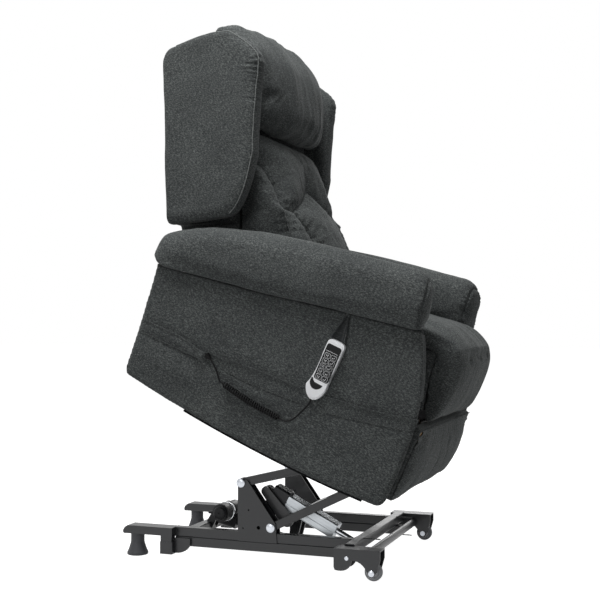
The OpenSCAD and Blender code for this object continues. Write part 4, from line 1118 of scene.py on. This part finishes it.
class CHAIR_OT_leg_rest(ChairOperator, bpy.types.Operator):
    """Stuffs the leg-rest pad"""
    bl_idname = "chair.leg_rest"
    bl_label = "Leg rest"

    def make(self, sizes, colours):
        stations = [1, 0.985, 0.955, 0.91, 0.85, 0.76, 0.64, 0.5, 0.33, 0.16, 0]
        outline = ([(-22.4, 236), (-22.4, 130), (-22.4, 22)] + curve((-24, 17), (-38, 20), (-45, 40),
                                                                     (-47, 80))
                   + curve((-48, 110), (-48, 150), (-44, 194), (-32, 225)) + [(-24, 239)])
        rings = []
        for x in mirrored(stations):
            e = abs(x) ** 5
            rings.append([chair(x * 344, u + e * ((0.7 if w > 190 else 0.45) * (-24 - u) if u < -24 else 0),
                           128 + (w - 128) * (1 - 0.02 * e))
                          for u, w in outline])
        piece = ring_form("leg_rest_cover", rings)
        soften(piece, 0.008, 3)
        local = in_chair(points_of(piece))
        fill(piece, 0.010, held=local[:, 1] > -28, slack=0.006)
        co = points_of(piece)
        over = np.maximum(0, in_chair(co)[:, 1] + 22.6)
        set_points(piece, co - np.array(REARWARD)[None, :] * (over * MM)[:, None])
        subdivide(piece)
        crumple(piece, 0.0025, 0.10, (1.6, 1, 1), seed=31.0)
        cover(piece, "legrest", "legrest_pad", fill_level=0.7)
        outer = [(337, 24), (343, 28), (344, 60), (344, 190), (343, 228), (336, 237), (300, 238.5)]
        outer = smooth_line(both_halves(outer, (0, 238.5)), 3)
        inner = [(327, 24), (327.4, 28), (327.6, 60), (327.6, 190), (327.4, 226), (326, 230.4), (300, 230.6)]
        inner = smooth_line(both_halves(inner, (0, 230.6)), 3)
        wrap = []
        for u, wider, drop in ((-22.2, 0, 3.5), (-14, 1, 0.5), (0, 0, 0), (1.5, -3, 0)):
            wrap.append([chair(x + math.copysign(wider, x), u, w - (drop if w > 200 else 0)) for x,
                         w in outer])
        wrap += [[chair(x, u, w) for x, w in inner] for u in (1.5, -10, -22.2)]
        n, m = len(wrap[0]), len(wrap)
        faces = [(j * n + i, j * n + i + 1, (j + 1) % m * n + i + 1, (j + 1) % m * n + i)
                 for j in range(m) for i in range(n - 1)]
        faces += [tuple(j * n for j in range(m)), tuple(j * n + n - 1 for j in reversed(range(m)))]
        wrap = outward(new_mesh("leg_rest_wrap", [p for ring in wrap for p in ring], faces))
        cover(wrap, "legrest", fill_level=0.2)


class CHAIR_OT_back_body(ChairOperator, bpy.types.Operator):
    """Covers the body of the backrest"""
    bl_idname = "chair.back_body"
    bl_label = "Back body"

    def make(self, sizes, colours):
        piece = node_copy("back_cover", "back_frame")
        soften(piece, 0.009, 3)
        crumple(piece, 0.0022, 0.14, (1, 1, 1.4), seed=41.0)
        cover(piece, "backrest", "back_frame", fill_level=0.3)


BACK_SEAMS = [((300, 744), (246, 724)), ((246, 724), (234, 690)), ((234, 690), (238, 640)), ((238, 640),
              (250, 540)), ((0, 704), (105, 669)), ((105, 669), (190, 640)), ((190, 640), (238, 640)),
              ((190, 640), (150, 590)), ((150, 590), (128, 450))]
BACK_FACE = [(456, 516), (462, 502), (480, 486), (510, 490), (560, 514), (620, 575), (680, 643), (727, 700),
             (767, 742), (795, 782), (806, 806)]


class CHAIR_OT_back_cushion(ChairOperator, bpy.types.Operator):
    """Stuffs the back cushion, sewn in a diamond"""
    bl_idname = "chair.back_cushion"
    bl_label = "Back cushion"

    def make(self, sizes, colours):
        halves = [(560, 255), (590, 261), (625, 284), (660, 290), (806, 292)]
        levels = [457, 459, 463, 468] + list(range(476, 800, 8)) + [802, 805]
        face = smooth_line(BACK_FACE, 4)
        rings = []
        count = 72
        for k in range(count + 1):
            v = -1 + 2 * k / count
            e = abs(v) ** 3.2
            ring = []
            for w in levels:
                x = v * lookup(w, halves)
                u = lookup(w, face)
                near = min(seam_gap(abs(x), w, a, b) for a, b in BACK_SEAMS)
                full = 44 * (1 - math.exp(-near / 36))
                ring.append(chair(x, min(back_line(w) - 9, u + (52 if u < 600 else 74) * e - full + 12), w))
            ring += [chair(v * 292, back_line(805) - 2, 805), chair(v * 285, back_line(640) - 2, 640),
                     chair(v * 255, back_line(560) - 2, 560), chair(v * 255, back_line(457) - 2, 457)]
            rings.append(ring)
        piece = ring_form("back_cushion_cover", rings)
        soften(piece, sizes.skin, 3)
        local = in_chair(points_of(piece))
        behind = local[:, 1] > back_line(local[:, 2]) - 16
        routes = []
        tree = BVHTree.FromObject(piece, bpy.context.evaluated_depsgraph_get())
        for s in (-1, 1):
            for a, b in BACK_SEAMS:
                route = []
                for i in range(25):
                    x, w = a[0] + (b[0] - a[0]) * i / 24, a[1] + (b[1] - a[1]) * i / 24
                    hit = tree.ray_cast(chair(s * min(x, 280), 300, w), REARWARD)[0]
                    if hit is not None:
                        route.append(hit)
                if len(route) > 2:
                    routes.append(route)
        far, _ = near_seam(piece, routes)
        fill(piece, 0.014, held=behind | (far < 0.008), slack=0.012)
        subdivide(piece)
        draw_seam(piece, routes, 0.014, 0.009, fold=0.0026, pitch=0.026, reach=0.035, phase=1.0)
        crumple(piece, 0.0022, 0.05, (1, 1, 1), seed=51.0)
        cover(piece, "backrest", "back_cushion", fill_level=0.7)


class CHAIR_OT_head_pillow(ChairOperator, bpy.types.Operator):
    """Stuffs the head pillow"""
    bl_idname = "chair.head_pillow"
    bl_label = "Head pillow"

    def make(self, sizes, colours):
        stations = [1, 0.985, 0.955, 0.91, 0.85, 0.77, 0.67, 0.55, 0.42, 0.28, 0.14, 0]
        outline = [(back_line(1001) - 2, 1001.5), (back_line(900) - 2, 900), (back_line(822) - 2, 824),
                   (812, 822)]
        outline += curve((786, 823), (761, 824), (750, 842), (756, 872)) + curve((764, 900), (790, 950),
                                                                                 (812, 993), (846, 1030))
        outline += curve((872, 1051), (908, 1074), (952, 1100),
                         (992, 1106)) + curve((1020, 1096), (1038, 1064), (1044, 1034),
                                                                                     (1046, 1002))
        rings = []
        for x in mirrored(stations):
            e = abs(x) ** 3.4
            ring = []
            for u, w in outline:
                lift = max(0, (w - 1002) / 98)
                push = clamp((1075 - w) / 60) if u < back_line(w) - 2 else 0
                ring.append(chair(x * 294, u + e * 76 * push * min(1, (back_line(w) - u) / 120)
                                  + e * 34 * lift,
                                  w - e * 44 * lift))
            rings.append(ring)
        piece = ring_form("head_pillow_cover", rings)
        soften(piece, sizes.skin, 4)
        local = in_chair(points_of(piece))
        behind = (local[:, 1] > back_line(local[:, 2]) - 14) & (local[:, 2] < 1012)
        fill(piece, 0.010, held=behind, slack=0.006)
        subdivide(piece)
        crumple(piece, 0.0065, 0.075, (1, 4, 4), seed=61.0)
        cover(piece, "backrest", "head_pillow", fill_level=0.75)


WING_FRONT = (curve((739, 556), (725, 580), (723, 620), (731, 680), 10) + curve((744, 750), (777, 820),
                                                                                (806, 910), (828, 975), 12)
              + curve((838, 1005), (853, 1030), (892, 1040), (930, 1046), 8))
WING_UNDER = curve((915, 456), (860, 482), (804, 512), (759, 542), 8)
WING_TOP = curve((960, 1049), (1003, 1042), (1056, 996), (1108, 950), 10)


class CHAIR_OT_wings(ChairOperator, bpy.types.Operator):
    """Pads and covers the wings, with piping round their outer edge"""
    bl_idname = "chair.wings"
    bl_label = "Wings"

    def make(self, sizes, colours):
        outline = (WING_UNDER + WING_FRONT + WING_TOP + curve((1122, 938), (1134, 925), (1134, 905),
                                                              (1126, 886), 8)
                   + [(1073, 777), (1020, 668), (971, 565), (922, 462)])
        for s, side in ((1, "left"), (-1, "right")):
            rings = []
            for depth, scale in ((0.6, 0.93), (2.5, 0.955), (6, 0.975), (12, 0.99), (20, 0.997), (30, 1),
                                 (44, 1), (56, 0.998), (61, 0.993), (64, 0.985), (65.5, 0.972),
                                 (66, 0.95)):
                rings.append([chair(s * (300 + depth), 930 + (u - 930) * scale, 780 + (w - 780) * scale)
                              for u, w in outline])
            piece = ring_form(f"wing_cover_{side}", rings)
            soften(piece, 0.007, 2)
            subdivide(piece)
            local = in_chair(points_of(piece))
            flat = np.zeros((len(local), 3))
            flat[:, 1:] = local[:, 1:]
            for edge, width, depth in ((WING_FRONT, 44, 10), (WING_UNDER, 34, 10), (WING_TOP, 16, 3)):
                tree = kdtree.KDTree(len(edge) * 4)
                for i, p in enumerate(dense([(0, u, w) for u, w in edge], 8)[:len(edge) * 4]):
                    tree.insert(p, i)
                tree.balance()
                far = np.array([tree.find((0, p[1], p[2]))[2] for p in flat])
                near = np.clip(1 - far / width, 0, 1)
                outer = np.clip((np.abs(local[:, 0]) - 318) / 40, 0, 1)
                local[:, 0] -= s * depth * near * near * outer
            set_points(piece, np.array([chair(*p) for p in local]))
            crumple(piece, 0.0020, 0.12, (1, 1, 1.3), seed=71.0 + s)
            edge = [(930 + (u - 930) * 0.985, 780 + (w - 780) * 0.985) for u, w in WING_FRONT + WING_TOP]
            edge = onto(piece, [chair(s * 358, u, w) for u, w in edge])
            corner = edge[18:30]
            draw_seam(piece, [corner], 0.0, 0.004, fold=0.0030, pitch=0.016, reach=0.024, phase=3.0)
            draw_seam(piece, [edge], 0.0016, 0.003, fold=0.0005, pitch=0.021, reach=0.012, phase=6.0)
            cover(piece, "backrest", f"wing_{side}", fill_level=0.4)
            # The piping's paler cloth is a painted highlight along the wing's edge
            route = smooth_line(onto(piece, edge, 0.0012), 3)
            trim(f"wing_piping_{side}", [route], "backrest", sizes.piping / 2, 8, "piping")


class CHAIR_OT_handset(ChairOperator, bpy.types.Operator):
    """Finishes the handset, its plate and its keys"""
    bl_idname = "chair.handset"
    bl_label = "Handset"

    def make(self, sizes, colours):
        paint("handset_shell", "handset")
        paint("handset_face", "keypad")
        frames = [[chair(-393.8, 263, 331.5), chair(-393.8, 299, 331.5)]]
        corner = [(8.2, 4.8), (6.6, 6.5), (-6.6, 6.5), (-8.2, 4.8)]
        box = [(-a, b) for a, b in corner] + [(a, -b) for a, b in corner]
        for k in range(10):
            paint(f"button_{k + 1}", "key")
            column, row = k % 2, k // 2
            u, w = 270.5 + 19 * column, 319 - 16 * row
            frames.append([chair(-393.8, u + a, w + b) for a, b in box + box[:1]])
            turn = 1 if column else -1
            seat = [(3.8 * turn, 3.4), (2.4 * turn, -1.2 - 0.4 * row), (-1.6 * turn, -1.2),
                    (-2.6 * turn, -3.6)]
            arrow = [(-3.6 * turn, 0.4 * turn), (-2.2 * turn, 3.2 * turn), (-0.8 * turn, 0.4 * turn)]
            strokes = [[chair(-395.4, u + a, w + b) for a, b in line] for line in (seat, arrow)]
            trim(f"key_glyph_{k + 1}", strokes, f"key_{k + 1}", 0.00075, 6, "mark")
        trim("handset_frames", frames, "chair", 0.00065, 6, "mark")
        edge = smooth_line([(307, 246), (307, 232), (300, 222), (291, 218), (280, 219.5), (271.5, 227),
                            (268, 235.5)], 4)
        edge += [(294, 236.4), (300, 241), (303, 246.5)]
        count = len(edge)
        points = [chair(x, u, w) for x in (-394.3, -393.7) for u, w in edge]
        faces = [tuple(range(count)), tuple(range(2 * count - 1, count - 1, -1))]
        faces += [(i, (i + 1) % count, count + (i + 1) % count, count + i) for i in range(count)]
        label = shade(outward(new_mesh("handset_crescent", points, faces)), MATERIALS["keypad"], False)
        carried(label, "chair")


OPERATORS = [CHAIR_OT_camera, CHAIR_OT_stage, CHAIR_OT_handset_cord, CHAIR_OT_steelwork, CHAIR_OT_castors,
             CHAIR_OT_drives, CHAIR_OT_side_panels, CHAIR_OT_arm_pads, CHAIR_OT_seat, CHAIR_OT_leg_rest,
             CHAIR_OT_back_body, CHAIR_OT_back_cushion, CHAIR_OT_head_pillow, CHAIR_OT_wings,
             CHAIR_OT_handset]


class CHAIR_PT_pieces(bpy.types.Panel):
    """Lists the pieces of the chair"""
    bl_idname = "CHAIR_PT_pieces"
    bl_label = "Lift recliner chair"
    bl_space_type = "VIEW_3D"
    bl_region_type = "UI"
    bl_category = "Chair"

    def draw(self, context):
        for name in ("piping", "skin", "cord", "curl", "curls"):
            self.layout.prop(context.scene.chair_sizes, name)
        for name in ("cloth", "cloth_dark", "cloth_light", "steel"):
            self.layout.prop(context.scene.chair_colours, name)
        for kind in OPERATORS:
            self.layout.operator(kind.bl_idname)


CLASSES = [ChairSizes, ChairColours] + OPERATORS + [CHAIR_PT_pieces]


def register():
    for kind in CLASSES:
        bpy.utils.register_class(kind)
    bpy.types.Scene.chair_sizes = bpy.props.PointerProperty(type=ChairSizes)
    bpy.types.Scene.chair_colours = bpy.props.PointerProperty(type=ChairColours)


def unregister():
    del bpy.types.Scene.chair_sizes
    del bpy.types.Scene.chair_colours
    for kind in reversed(CLASSES):
        bpy.utils.unregister_class(kind)


def main():
    register()
    make_materials(bpy.context.scene.chair_colours)
    for kind in OPERATORS:
        group, name = kind.bl_idname.split(".")
        getattr(getattr(bpy.ops, group), name)()


if __name__ == "__main__":
    main()
